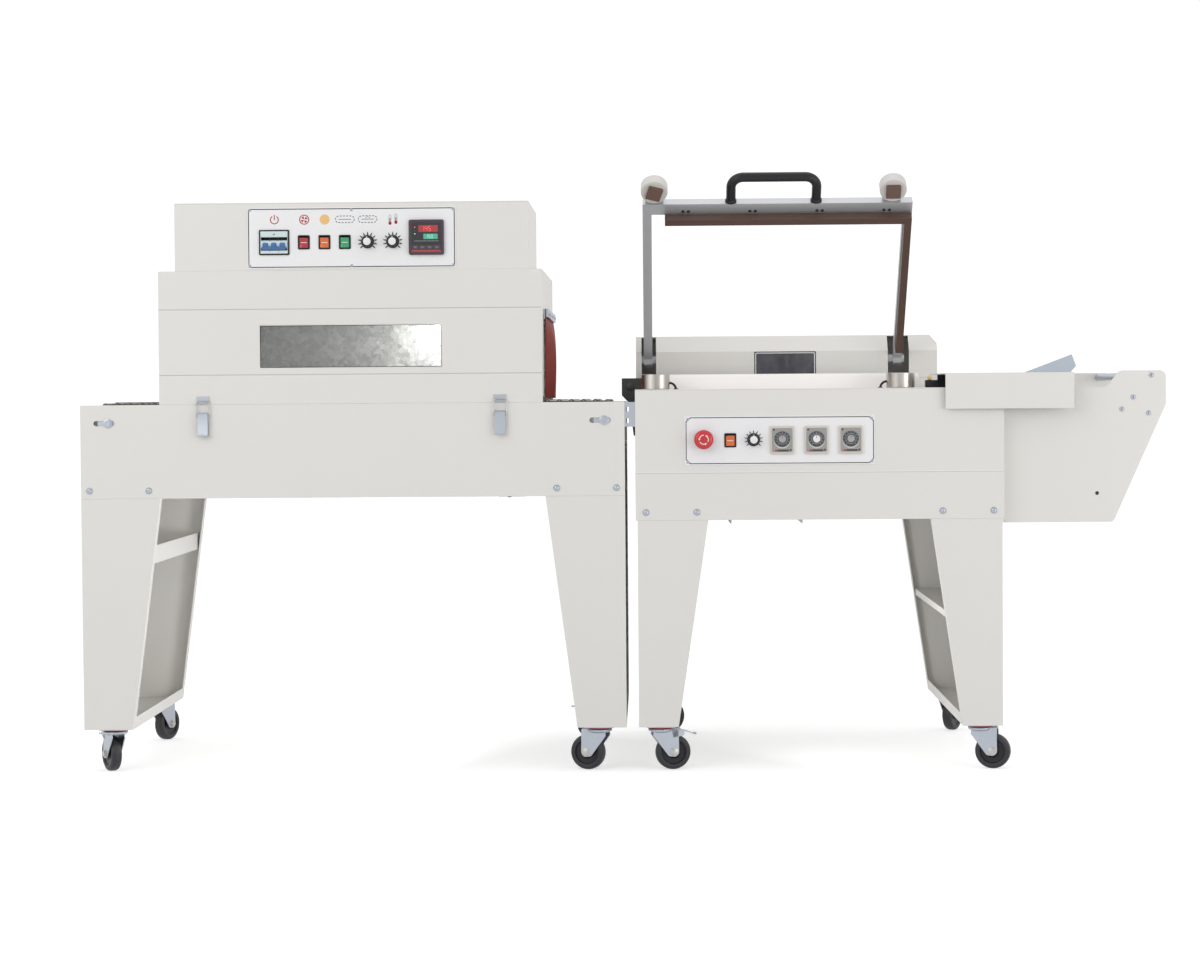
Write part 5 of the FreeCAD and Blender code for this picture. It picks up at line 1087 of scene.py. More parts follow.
def caster_fork(name, change, has_brake):
    """Two cheeks under a bridge and a turned crown, the axle's nuts outside, and ears for a pedal's pin."""
    fork = Piece(name + "_fork", BODY_OF[name + "_caster_fork"], "zinc_steel", (name + "_caster_fork",))
    cheek = filleted([(-17 * MM, FORK_TOP), (TRAIL + 10 * MM, FORK_TOP), (TRAIL + 11 * MM, AXLE_Z - 9 * MM),
                      (TRAIL - 11 * MM, AXLE_Z - 9 * MM), (-19 * MM, FORK_TOP - 14 * MM)],
                     mm(3, 3, 10, 10, 3), 8)
    ear = filleted([(20 * MM, FORK_TOP), (48 * MM, 85 * MM), (48 * MM, 73 * MM),
                    (24 * MM, FORK_TOP - 20 * MM)], mm(2, 5, 5, 2))
    for s in (-1, 1):
        outside = s * (FORK_HALF + FORK_T)
        fork.add(moved(prism(cheek, *sorted((s * FORK_HALF, outside))), change), "zinc_plate")
        disc = turned((TRAIL, outside, AXLE_Z), (0, s, 0), mm((9.5, 0), (9.5, 1.0), (8.8, 1.3)), 24)
        fork.add(moved(disc, change), "bright_steel")
        nut = hex_bolt((TRAIL, outside + s * 1.3 * MM, AXLE_Z), (0, s, 0), 7 * MM, 2.7 * MM)
        fork.add(moved(nut, change), "bright_steel")
    bridge = filleted(mm((-17, -15.2), (36, -15.2), (36, 15.2), (-17, 15.2)), [4 * MM] * 4)
    fork.add(moved(prism(bridge, FORK_TOP - 3.6 * MM, FORK_TOP - 0.2 * MM, "z"), change), "zinc_plate")
    crown = mm((20, -8), (25.5, -5.4), (27, -2.6), (26.4, -0.4), (20, 0))
    fork.add(moved(turned((0, 0, FORK_TOP), (0, 0, 1), crown, 40), change), "zinc_plate")
    if has_brake:
        for s in (-1, 1):
            ear_sides = sorted((s * FORK_HALF, s * (FORK_HALF + FORK_T)))
            fork.add(moved(prism(ear, *ear_sides), change), "zinc_plate")
    fork.make(bevel=0.5 * MM)


def caster_wheel(name, change):
    """Rubber tread and moulded hub, each a closed (radius, side) outline turned round the axle."""
    wheel = Piece(name + "_tyre", BODY_OF[name + "_caster_wheel"], "black_rubber", (name + "_caster_wheel",))
    tread = mm((27, -11), (30, -11.5), (32.8, -11.2), (35.4, -9.8), (36.9, -7.2), (37.5, -4))
    hub = mm((5.1, -11.4), (10.5, -11.4), (12, -9.6), (14, -7.6), (24.5, -8.2), (26, -10.6),
             (27.1, -10.9))
    for half, finish in ((tread, "wheel_rubber"), (hub, "black_plastic")):
        wheel.add(moved(washer((TRAIL, 0, AXLE_Z), (0, 1, 0), both_ends(half, 0), 44), change), finish)
    wheel.make(sharp=40)


def brake_pedal(name, change):
    """Pressed pedal: a thin blade along an S line that curls up at its tip, with a cam under the pivot."""
    line = mm((41, 81.2), (46, 82.2), (52, 82.0), (58, 80.2), (64, 77.6), (70, 75.2), (73.5, 74.8),
              (75.6, 76.4))
    t, fine = np.linspace(0, 1, len(line)), np.linspace(0, 1, 24)
    path = np.stack([np.interp(fine, t, line[:, k]) for k in (0, 1)], -1)
    along = np.gradient(path, axis=0)
    along /= np.linalg.norm(along, axis=1)[:, None]
    side = np.stack([-along[:, 1], along[:, 0]], -1)
    blade = np.concatenate([path + 0.9 * MM * side, (path - 0.9 * MM * side)[::-1]])
    cam = filleted(mm((40, 76), (48, 76), (50, 81.4), (40, 81.4)), [2.5 * MM] * 4)
    pin = turned(mm(44, -15.4, 79), (0, 1, 0), mm((2.45, 0), (2.45, 30.8)), 16)
    node = name + "_brake_pedal"
    pedal = Piece(name + "_pedal", BODY_OF[node], "zinc_steel", (node,))
    pedal.add(moved(prism(blade, -12.4 * MM, 12.4 * MM), change), "zinc_plate")
    pedal.add(moved(prism(cam, -12 * MM, 12 * MM), change), "zinc_plate")
    pedal.add(moved(pin, change), "bright_steel")
    pedal.make(bevel=0.3 * MM)


def caster(name):
    """Fork and wheel, and a pedal where the CAD has one."""
    change = caster_turn(name)
    has_brake = name + "_brake_pedal" in frame["nodes"]
    caster_fork(name, change, has_brake)
    caster_wheel(name, change)
    if has_brake:
        brake_pedal(name, change)


# Control panels: plates, printing and instruments

PLATES = sorted(((points.min(axis=0), points.max(axis=0)) for points, _ in solids_of("fascia_plates")),
                key=lambda box: box[0][0])
TUNNEL_PLATE, SEALER_PLATE = PLATES[0], PLATES[-1]
TUNNEL_FACE, SEALER_FACE = TUNNEL_PLATE[0][1], SEALER_PLATE[0][1]
INK = 0.12 * MM
OUT = (0, -1, 0)


class Print:
    """Thin ink on one plate, placed in millimetres from the plate's left and top edges."""

    def __init__(self, name, plate):
        """Starts a piece of ink for the plate, given by its two corners."""
        self.low, self.high = plate
        self.face = self.low[1]
        self.width, self.height = (self.high - self.low)[[0, 2]] / MM
        self.piece = Piece(name, "frame", "fascia_film")

    def place(self, left, down):
        """The frame's x and z at a place on the plate."""
        return self.low[0] + left * MM, self.high[2] - down * MM

    def ink(self, left, down, outline, finish="ink_black"):
        """An outline filled with ink."""
        outline = np.asarray(outline, float) * MM + self.place(left, down)
        self.piece.add(prism(outline, self.face - INK, self.face), finish)

    def ring(self, left, down, outer, inner, finish="ink_black"):
        """Ink between two outlines."""
        outer, inner = [np.asarray(outline) * MM + self.place(left, down) for outline in (outer, inner)]
        self.piece.add(rim(outer, inner, self.face - INK, self.face), finish)

    def border(self, inset, width, chamfer):
        """Line round the plate, with its corners cut or rounded by chamfer."""
        loops = []
        for d in (inset, inset + width):
            a, b = self.width / 2 - d, self.height / 2 - d
            corners = [(a, b), (-a, b), (-a, -b), (a, -b)]
            r = max(chamfer - 0.4 * (d - inset), 0.5)
            loops.append(filleted(corners, [r] * 4, 2 if chamfer > 3 else 5))
        self.ring(self.width / 2, self.height / 2, *loops)

    def ticks_round(self, joint, r0, r1, width):
        """Eleven tapered marks over 260 degrees round a knob."""
        x, _, z = pivot(joint)
        left, down = (x - self.low[0]) / MM, (self.high[2] - z) / MM
        for a in np.radians(np.linspace(-40, 220, 11)):
            ray = np.array([math.cos(a), math.sin(a)])
            self.ink(left, down, stroke(r0 * ray, r1 * ray, width, 0.35 * width))

    def dashed_loop(self, left, down, width, height, dashes):
        """Oblong outline cut into dashes of equal length."""
        loop = racetrack(height / 2, -width / 2 + height / 2, width / 2 - height / 2, 0, 12)
        loop = np.concatenate([loop, loop[:1]])
        run = np.concatenate([[0], np.cumsum(np.linalg.norm(np.diff(loop, axis=0), axis=1))])
        for k in range(dashes):
            p, q = [[np.interp(run[-1] * (k + share) / dashes, run, loop[:, j]) for j in (0, 1)]
                    for share in (0.1, 0.72)]
            self.ink(left, down, stroke(p, q, 1.6), "ink_grey")

    def finish(self, screw_places):
        """Screws at the places, and the piece made."""
        places = [(x, self.face, z) for x, z in (self.place(*place) for place in screw_places)]
        screws(self.piece, places, OUT, 3.2 * MM, 1.5 * MM)
        self.piece.make()


def tunnel_print():
    """Signs over the switches: power, fan, heat, two belts, two thermometers; ticks round knobs; screws."""
    page = Print("tunnel_panel_print", TUNNEL_PLATE)
    w, h = page.width, page.height
    row, power, fan, heat, belts = 25.4, 57.8, 120.7, 163.8, (206.5, 254.5)
    thermometers = ((301.5, 1.0), (314.0, -1.0))
    page.border(2.2, 1.9, 2.0)
    page.ink(power, row, arc_band(7.2, 9.4, 122, 418, 40), "ink_red")
    page.ink(power, row, stroke((0, -0.5), (0, 10.5), 2.2), "ink_red")
    page.ring(fan, row, circle(10.6), circle(8.4), "ink_red")
    for k in range(4):
        page.ink(fan, row, arc_band(1.6, 7.0, 90 * k + 8, 90 * k + 62, 7), "ink_red")
    page.ink(heat, row, circle(10.6), "ink_amber")
    for left in belts:
        page.dashed_loop(left, row, 40, 14, 14)
        page.ink(left, row, stroke((-13, 0), (13, 0), 1.2), "ink_grey")
    page.ink(belts[1], row, arc_band(4.6, 5.4, 20, 160, 10), "ink_grey")
    for left, drop in thermometers:
        page.ring(left, row + drop, rounded(5.2, 19, 2.6), rounded(3.8, 17.6, 1.9), "ink_grey")
        page.ink(left, row + drop, stroke((0, -8), (0, 3), 1.9), "ink_red")
        page.ink(left, row + drop + 8.2, circle(3.4, 20), "ink_red")
    for joint in ("belt_speed_knob_turn", "fan_speed_knob_turn"):
        page.ticks_round(joint, 14.6, 20.8, 3.4)
    page.finish([(5.6, 5.4), (w - 5.6, 5.4), (5.6, h - 5.4), (w - 5.6, h - 5.4), (w / 2, 5.4),
                 (w / 2, h - 5.4)])


def sealer_print():
    """A border with cut corners, ticks round the knob and a screw in each corner."""
    page = Print("sealer_panel_print", SEALER_PLATE)
    w, h = page.width, page.height
    page.border(2.4, 1.7, 9.0)
    page.ticks_round("seal_power_knob_turn", 14.6, 19.6, 2.6)
    page.finish([(6.5, 6.5), (w - 6.5, 6.5), (6.5, h - 6.5), (w - 6.5, h - 6.5)])


def plaque(piece, x, z, size, y0, y1, finish):
    """Flat plate with round corners, size being its (width, height, radius), between two levels of y."""
    piece.add(prism(rounded(*size) + (x, z), y0, y1), finish)


ROCKERS = (("heater_rocker", "lamp_red"), ("fan_rocker", "lamp_orange"), ("conveyor_rocker", "lamp_green"),
           ("power_rocker", "lamp_orange"))
ROCKER_LEAN = 12.0


def rocker_switches(housings):
    """Bezel round an opening on the panel and a see-saw paddle with a dished face, turned to its on side."""
    u = np.linspace(-1, 1, 17)
    dish = np.stack([(-3.7 - 2.2 * u ** 2) * MM, 10.6 * MM * u], -1)
    outline = np.concatenate([dish, mm((2, 10), (6, 4), (6, -4), (2, -10))])
    steps = ((-8.9, 0.94), (-8.3, 1.0), (8.3, 1.0), (8.9, 0.94))
    for node, lamp in ROCKERS:
        x, y, z = pivot(node + "_tilt")
        face, lean = y - 2 * MM, about_x((x, y, z), ROCKER_LEAN)
        surround = bezel(x, z, face, mm(25, 30, 2.5), mm(18.6, 25.2, 0.8), 2 * MM, 0.6 * MM)
        housings.add(surround, "black_plastic")
        plaque(housings, x, z, mm(20.8, 25.8, 1), face + 12 * MM, face + 14 * MM, "black_plastic")
        rings = [laid(outline * share + (y, z), x + across * MM, "x") for across, share in steps]
        # White stroke across the dished face: painted highlight.
        shine = stroke((-6.4, 0), (6.4, 0), 1.3) * MM + (x, z)
        paddle = Piece(node + "_paddle", BODY_OF[node], None, (node,))
        paddle.add(moved(tube(rings), lean), lamp)
        paddle.add(moved(prism(shine, y - 3.8 * MM, y - 3.63 * MM), lean), "ink_white")
        paddle.make(sharp=40)


KNOBS = (("belt_speed_knob", TUNNEL_FACE), ("fan_speed_knob", TUNNEL_FACE), ("seal_power_knob", SEALER_FACE))


def knobs(housings):
    """Fluted grip on a skirt: radius R (1 - 0.035 (1 + cos 18 a)), drawn in towards its white cap."""
    a = np.linspace(0, TAU, 108, endpoint=False)
    flute = 1 - 0.035 * (1 + np.cos(18 * a))
    fluted = np.stack([flute * np.cos(a), flute * np.sin(a)], -1)
    for node, y in KNOBS:
        x, _, z = pivot(node + "_turn")
        housings.add(hex_bolt((x, y, z), OUT, 7 * MM, 1.9 * MM), "zinc_plate")
        knob = Piece(node + "_grip", BODY_OF[node], "black_plastic", (node,))
        skirt = mm((13.2, 2.3), (14.0, 2.8), (13.8, 4.0), (12.2, 5.3), (8, 5.4))
        knob.add(turned((x, y, z), OUT, skirt, 48), "black_plastic")
        steps = mm((11.4, 5.2), (11.0, 15.2), (10.4, 16.6), (9.4, 17.2))
        knob.add(tube([laid(r * fluted + (x, z), y - h, "y") for r, h in steps]), "black_plastic")
        cap = mm((7.9, 0), (7.9, 0.3), (7.2, 0.7), (2, 0.85))
        knob.add(turned((x, y - 17.1 * MM, z), OUT, cap, 40), "cap_white")
        pointer = stroke((0, 8.2), (0, 10.6), 1.4) * MM + (x, z)
        knob.add(prism(pointer, y - 17.3 * MM, y - 16.9 * MM), "ink_white")
        knob.make(sharp=40)


TIMERS = (("seal_timer_dial", "cap_grey"), ("cool_timer_dial", "cap_white"), ("feed_timer_dial", "cap_grey"))


def timer_case(housings, x, z, face):
    """Beige case with a grey inner plate, two screws, and a grey and a red label under the dial."""
    housings.add(slab((x, face, z), OUT, rounded(*mm(50, 59, 3)), 5.2 * MM, 1.2 * MM), "beige_plastic")
    inner_plate = bezel(x, z, face - 5 * MM, mm(43, 50, 2), mm(36.4, 36.4, 18.2), MM, 0.3 * MM)
    housings.add(inner_plate, "bezel_grey")
    head = face - 6 * MM
    places = [(x - 17.5 * MM, head, z + 21.5 * MM), (x + 17.5 * MM, head, z - 21.0 * MM)]
    screws(housings, places, OUT, 2.2 * MM, MM, "dark_steel")
    label_z, label_back = z - 22.2 * MM, face - 5.9 * MM
    plaque(housings, x + 2 * MM, label_z, mm(24, 4.2, 0.6), face - 6.15 * MM, label_back, "ink_grey")
    plaque(housings, x - 13 * MM, label_z, mm(5, 4.2, 0.6), face - 6.2 * MM, label_back, "ink_red")


def timers(housings):
    """Three timers: a case, and a turned dial with a ring of marks and a centre with a red pointer."""
    face = SEALER_FACE
    for node, centre in TIMERS:
        x, _, z = pivot(node + "_turn")
        timer_case(housings, x, z - 2 * MM, face)
        dial = Piece(node + "_face", BODY_OF[node], "timer_plastic", (node,))
        disc = mm((17, 2.4), (17, 5.4), (16.2, 5.8), (7, 5.8))
        dial.add(turned((x, face, z), OUT, disc, 56), "dial_plastic")
        for a in np.radians(np.linspace(-50, 230, 11)):
            ray = np.array([math.cos(a), math.sin(a)])
            mark = stroke(12.2 * ray, 15.2 * ray, 0.8) * MM + (x, z)
            dial.add(prism(mark, face - 5.9 * MM, face - 5.7 * MM), "ink_pale")
        ring = mm((10.2, 5.6), (11, 5.6), (11, 6.1), (10.2, 6.1))
        dial.add(washer((x, face, z), OUT, ring, 48), "ink_pale")
        dial.add(turned((x, face, z), OUT, mm((8, 5.4), (7.6, 11.2), (6.8, 11.9), (1, 12)), 40), centre)
        pointer = stroke((0, 1.5), (0, 7), 1.2) * MM + (x, z)
        dial.add(prism(pointer, face - 12.1 * MM, face - 11.8 * MM), "ink_red")
        dial.make(sharp=40)


SEGMENTS = {"a": ((-1, 2), (1, 2)), "b": ((1, 2), (1, 0)), "c": ((1, 0), (1, -2)), "d": ((1, -2), (-1, -2)),
            "e": ((-1, -2), (-1, 0)), "f": ((-1, 0), (-1, 2)), "g": ((-1, 0), (1, 0))}
DIGITS = {0: "abcdef", 1: "bc", 4: "fgbc", 5: "afgcd"}
CONTROLLER_X = TUNNEL_PLATE[0][0] + 378 * MM
CONTROLLER_Z = TUNNEL_PLATE[0][2] + 63.5 * MM


def shown_number(piece, x, z, y, value, height, finish):
    """Digits of a display, each of up to seven bars."""
    unit = height / 4
    for k, digit in enumerate(value):
        for name in DIGITS[digit]:
            p, q = (np.array(e) * (0.9 * unit, unit) + (x + k * 3.0 * unit, z) for e in SEGMENTS[name])
            p, q = p + 0.12 * (q - p), q + 0.12 * (p - q)
            piece.add(prism(stroke(p, q, 0.45 * unit), y - INK, y), finish)


def temperature_controller(housings):
    """Square case with a sunk dark window, two rows of digits, four keys and a red strip."""
    x, z, face = CONTROLLER_X, CONTROLLER_Z, TUNNEL_FACE
    glass = face - 5.1 * MM
    lit = glass - 0.5 * MM
    housings.add(bezel(x, z, face, mm(74, 74, 4), mm(63, 63, 2), 7 * MM, 1.2 * MM), "controller_plastic")
    plaque(housings, x, z, mm(64, 64, 2), face - 5 * MM, face - 2 * MM, "controller_plastic")
    plaque(housings, x, z + 7 * MM, mm(60, 46, 2), glass - 0.3 * MM, glass + MM, "black_gloss")
    plaque(housings, x + 4 * MM, z + 18 * MM, mm(41, 14, 1), lit, glass, "screen_red")
    plaque(housings, x + 9 * MM, z + 1.5 * MM, mm(30, 11, 1), lit, glass, "screen_green")
    shown_number(housings, x - 7 * MM, z + 18 * MM, lit, (1, 4, 5), 9.5 * MM, "digit_red")
    shown_number(housings, x + 1.5 * MM, z + 1.5 * MM, lit, (1, 5, 0), 7 * MM, "digit_green")
    housings.add(prism(stroke((-26, -8), (26, -8), 0.7) * MM + (x, z), lit, glass), "ink_pale")
    for dx in (-22.5, -7.5, 7.5, 22.5):
        key_x, key_z = x + dx * MM, z - 21 * MM
        key = slab((key_x, glass, key_z), OUT, rounded(*mm(11, 6.5, 2)), 1.4 * MM, 0.5 * MM)
        housings.add(key, "grey_plastic")
        sign = stroke((-2.2, 0), (2.2, 0), 0.9, 0.3) * MM + (key_x, key_z)
        housings.add(prism(sign, glass - 1.5 * MM, glass - 1.3 * MM), "ink_pale")
    for dz, finish in ((21, "digit_red"), (14, "ink_grey"), (7, "digit_green")):
        housings.add(prism(circle(1.3 * MM, 14) + (x - 24 * MM, z + dz * MM), lit, glass), finish)
    plaque(housings, x, z - 29 * MM, mm(62, 4.2, 1), glass - 0.3 * MM, glass, "ink_red")


def breaker(housings):
    """Black frame, pale body behind it, and three blue handles on one bar over a drum."""
    x, y, z = pivot("breaker_lever_throw")
    face, middle = y - 2 * MM, z + 4 * MM
    for rise, into, outer, inner, depth, edge, finish in (
            (0, 0, (64, 53, 2.5), (56.4, 45.4, 1), 3, 0.7, "black_plastic"),
            (0, 2, (57.6, 46.6, 1), (56, 34, 1), 6.2, 0.5, "pale_cyan_plastic"),
            (17, -1, (55.8, 12, 1), (4, 3, 1), 4.4, 0.6, "pale_cyan_plastic")):
        frame_part = bezel(x, middle + rise * MM, face + into * MM, mm(*outer), mm(*inner), depth * MM,
                           edge * MM)
        housings.add(frame_part, finish)
    plaque(housings, x, middle, mm(56.6, 45.6, 1), face + 20 * MM, face + 22 * MM, "black_plastic")
    for dx in (-9.3, 9.3):
        line = stroke((dx, -20), (dx, 22), 0.7) * MM + (x, middle)
        housings.add(prism(line, face - 4.3 * MM, face - 3.8 * MM), "ink_grey")
    tilt = about_x((x, y, z), 35.0)
    lever = Piece("breaker_handles", BODY_OF["breaker_lever"], "blue_plastic", ("breaker_lever",))
    lever.add(turned((x - 27.6 * MM, y, z), (1, 0, 0), mm((9, 0), (9, 55.2)), 36), "pale_cyan_plastic")
    for dx in (-18, 0, 18):
        arm = slab((x + dx * MM, y - 6 * MM, z + 2 * MM), OUT, rounded(*mm(11, 13, 1.6)), 6.6 * MM, MM)
        lever.add(moved(arm, tilt), "blue_plastic")
    joining = bar((x, y, z) + mm(-25, -13.2, -5.6), (x, y, z) + mm(25, -10.6, 1.6), 0.6 * MM)
    lever.add(moved(joining, tilt), "blue_plastic")
    lever.make(sharp=40)


def emergency_stop(housings):
    """Red mushroom: a turned dome on a collar, with three pale arc arrows on its face."""
    low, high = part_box("estop_button")
    x, z = (low.x + high.x) / 2, (low.z + high.z) / 2
    face = SEALER_FACE
    collar = mm((9.6, 0), (15, 0), (15, 5), (14, 6), (10.2, 6), (9.6, 5.4))
    housings.add(washer((x, face, z), OUT, collar, 44), "grey_plastic")
    dome = mm((8.8, 5.3), (8.8, 11.6), (15.8, 12.2), (19.6, 14.6), (20.5, 17.6), (20.2, 20.6), (18.4, 23.4),
              (14.6, 25.2), (8, 25.9), (1, 26))
    head = Piece("emergency_stop_head", BODY_OF["estop_button"], "red_plastic", ("estop_button",))
    head.add(turned((x, face, z), OUT, dome, 56), "red_plastic")
    y0, y1 = face - 25.95 * MM, face - 24.9 * MM
    for start in (90, 210, 330):
        shaft = arc_band(8.6, 10.4, start, start + 78, 12)
        tip = spun([(6.9, 0), (12.1, 0), (9.5, 3.6)], start + 78)
        for outline in (shaft, tip):
            head.add(prism(outline * MM + (x, z), y0, y1), "ink_white")
    head.make(sharp=40)


def mains_glands(housings):
    """Flange, six-sided nut and domed cap round an open bore, on each rear panel."""
    bore = circle(5 * MM, 24)
    flats = np.repeat(circle(12.6 * MM, 6), 4, axis=0)
    hexagon = flats + (np.roll(flats, -4, axis=0) - flats) * np.tile(np.linspace(0, 0.75, 4), 6)[:, None]
    cap = mm((5, 6.6), (10.4, 6.6), (10.2, 14), (8.6, 17), (6.6, 18), (5, 18))
    for mount in frame["record"]["mounts"]:
        if mount["kind"] != "bore":
            continue
        x, y, z = mount["pos_m"]
        y -= 9 * MM
        for outline, near, far in ((circle(13 * MM, 24), 0, 1.2), (hexagon, 1.2, 6.6)):
            housings.add(rim(outline + (x, z), bore + (x, z), y + near * MM, y + far * MM), "black_plastic")
        housings.add(washer((x, y, z), (0, 1, 0), cap, 32), "black_plastic")


def control_panels():
    """Both plates with their printing, and every instrument's fixed part as one piece."""
    finish_node("fascia_plates", "panel_film", 0.3 * MM)
    tunnel_print()
    sealer_print()
    housings = Piece("instrument_housings", "frame", "black_plastic", ("panel_instruments",))
    rocker_switches(housings)
    knobs(housings)
    timers(housings)
    temperature_controller(housings)
    breaker(housings)
    emergency_stop(housings)
    mains_glands(housings)
    housings.make(sharp=40)


# Latches between hood and bed

def latches():
    """Pressed levers from the CAD, and round wire bent to a closed loop with its corners rounded."""
    a = np.linspace(0, TAU, 12, endpoint=False)[None, :, None]
    for side in ("left", "right"):
        dressed(side + "_latch_lever", all_in("zinc_plate"), "bright_steel", bevel=0.4 * MM)
        node = side + "_latch_bail"
        low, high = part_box(node)
        r = (high.y - low.y) / 2
        corners = [(low.x + r, low.z + r), (high.x - r, low.z + r), (high.x - r, high.z - r),
                   (low.x + r, high.z - r)]
        path = laid(filleted(corners, [4 * MM] * 4, 7), (low.y + high.y) / 2, "y")
        along = np.roll(path, -1, axis=0) - np.roll(path, 1, axis=0)
        along /= np.linalg.norm(along, axis=1)[:, None]
        across = np.cross(along, (0, 1, 0))[:, None]
        rings = path[:, None] + r * (np.cos(a) * across + np.sin(a) * np.array([0, 1, 0]))
        wire = Piece(side + "_latch_wire", BODY_OF[node], "bright_steel", (node,))
        wire.add(tube(rings, True), "bright_steel")
        wire.make(50)


# Jaws, set out closed; the upper one is then swung open about its hinge

JAW_HINGE = pivot("jaw_hinge")
JAW_OPEN = -50.0
swung = about_x(JAW_HINGE, JAW_OPEN)
SEAL_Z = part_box("seal_base")[1].z
MAGNET_R = 30 * MM
MAGNET_Y = BODY_LOW.y + 66 * MM
MAGNETS = (BODY_LOW.x + 44 * MM, BODY_LOW.x + 564 * MM)
DISC_TURNS = (17.0, 0.0)
PLATE_T = 7 * MM
JAW_BAR_Y = BODY_LOW.y + 125 * MM
JAW_BAR_LOW, JAW_BAR_TOP = JAW_HINGE[2] - 10 * MM, JAW_HINGE[2] + 10 * MM
JAW_LEFT, JAW_RIGHT = BODY_LOW.x + 18 * MM, BODY_LOW.x + 610 * MM
SEAL_BAR_LEFT = JAW_LEFT + 49 * MM
SEAL_BAR_Y = JAW_BAR_Y + 18 * MM
SEAL_SIDE_X, SEAL_SIDE_BACK = JAW_RIGHT - 10 * MM, JAW_HINGE[1] - 45 * MM
POST_X = [JAW_LEFT + (95 + 147 * k) * MM for k in range(4)]


def l_outline(half):
    """The L that both jaws seal along: the front and the right side, half being half its width."""
    inner, outer, x = SEAL_BAR_Y + half, SEAL_BAR_Y - half, SEAL_SIDE_X
    return [(SEAL_BAR_LEFT, outer), (x + half, outer), (x + half, SEAL_SIDE_BACK), (x - half, SEAL_SIDE_BACK),
            (x - half, inner), (SEAL_BAR_LEFT, inner)]


def magnet_disc(jaw, x, degrees):
    """Ear of the jaw over a magnet, with a nylon holder, the plate that meets the magnet, and a bolt."""
    top, low = JAW_HINGE[2] + 6 * MM, SEAL_Z + 0.5 * MM + PLATE_T
    ear = filleted([(x - 20 * MM, JAW_BAR_Y - 14 * MM), (x + 20 * MM, JAW_BAR_Y - 14 * MM),
                    (x + 20 * MM, MAGNET_Y - 12 * MM), (x - 20 * MM, MAGNET_Y - 12 * MM)], mm(0, 0, 9, 9))
    jaw.add(moved(prism(ear, top - 8 * MM, top, "z"), swung), "satin_aluminium")
    rise = (top - low) / MM
    holder = mm((25, 0), (28, 0.4), (29.3, 1.8), (29.5, 3.2), (29.5, rise - 10), (28.8, rise - 8.6),
                (24, rise - 8))
    jaw.add(moved(turned((x, MAGNET_Y, low), (0, 0, 1), holder, 48), swung), "white_nylon")
    plate = spun(rounded(*mm(32, 32, 2)), degrees) + (x, MAGNET_Y)
    jaw.add(moved(prism(plate, low - PLATE_T, low, "z"), swung), "brown_plate")
    jaw.add(moved(hex_bolt((x, MAGNET_Y, top), (0, 0, 1), 7 * MM, 4 * MM), swung), "zinc_plate")


def upper_jaw():
    """Frame from the CAD's largest solid, a disc over each magnet, the bar behind the front and its bolts."""
    jaw = Piece("upper_jaw", BODY_OF["jaw_frame"], "aluminium_bar", ("jaw_frame",))
    jaw.add(max(solids_of("jaw_frame"), key=lambda solid: np.ptp(solid[0][:, 0])), "satin_aluminium")
    for x, degrees in zip(MAGNETS, DISC_TURNS):
        magnet_disc(jaw, x, degrees)
    rear = bar((SEAL_BAR_LEFT, JAW_BAR_Y + 14 * MM, JAW_BAR_LOW),
               (JAW_RIGHT, JAW_BAR_Y + 32 * MM, JAW_BAR_TOP), 0.5 * MM)
    jaw.add(moved(rear, swung), "satin_aluminium")
    for x in POST_X:
        upper = domed_bolt((x, JAW_BAR_Y, JAW_BAR_TOP), (0, 0, 1), 5 * MM, 4 * MM)
        jaw.add(moved(upper, swung), "zinc_plate")
        for dx in (-6 * MM, 6 * MM):
            place = (x + dx, SEAL_BAR_Y - 12.5 * MM, JAW_BAR_LOW)
            jaw.add(moved(domed_bolt(place, (0, 0, -1), 3 * MM, 2.6 * MM, 14), swung), "black_plastic")
    jaw.make(bevel=0.6 * MM)


def sealing_bar():
    """Coated bar along the front and the right side, hung from the frame on short posts."""
    low, high = SEAL_Z + 0.5 * MM, JAW_BAR_LOW - 4 * MM
    piece = Piece("sealing_bar", BODY_OF["seal_bar"], "brown_ptfe", ("seal_bar",))
    piece.add(moved(prism(l_outline(8 * MM), low, high, "z"), swung), "brown_ptfe")
    posts = [(x, SEAL_BAR_Y) for x in POST_X]
    posts += [(SEAL_SIDE_X, SEAL_BAR_Y + reach * MM) for reach in (120, 270)]
    profile = [(5 * MM, 0), (5 * MM, JAW_BAR_LOW - high)]
    for x, y in posts:
        piece.add(moved(turned((x, y, high), (0, 0, 1), profile, 16), swung), "brown_ptfe")
    piece.make(bevel=0.8 * MM)


def handle():
    """Round grip bent twice: a straight bar, a quarter circle to each foot, and a flange at each foot."""
    low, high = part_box("jaw_handle")
    r, bend = 10.5 * MM, 26 * MM
    xa, xb = low.x + r, high.x - r
    y0, z = JAW_BAR_Y - 14 * MM, JAW_HINGE[2]
    y1 = y0 - 64 * MM
    a = np.linspace(0, TAU / 4, 12)
    left = np.stack([xa + bend * (1 - np.cos(a)), y1 + bend * (1 - np.sin(a))], -1)
    right = np.stack([xb - bend * (1 - np.cos(a[::-1])), y1 + bend * (1 - np.sin(a[::-1]))], -1)
    line = np.concatenate([[(xa, y0), (xa, y0 - 18 * MM)], left, right, [(xb, y0 - 18 * MM), (xb, y0)]])
    grip = Piece("jaw_grip", BODY_OF["jaw_handle"], "black_plastic", ("jaw_handle",))
    grip.add(moved(swept(laid(line, z, "z"), r, 28), swung), "black_plastic")
    for x in (xa, xb):
        foot = turned((x, y0, z), OUT, mm((12.5, 0), (12.5, 4), (10.5, 7), (8, 7)), 32)
        grip.add(moved(foot, swung), "black_plastic")
    grip.make(sharp=50)


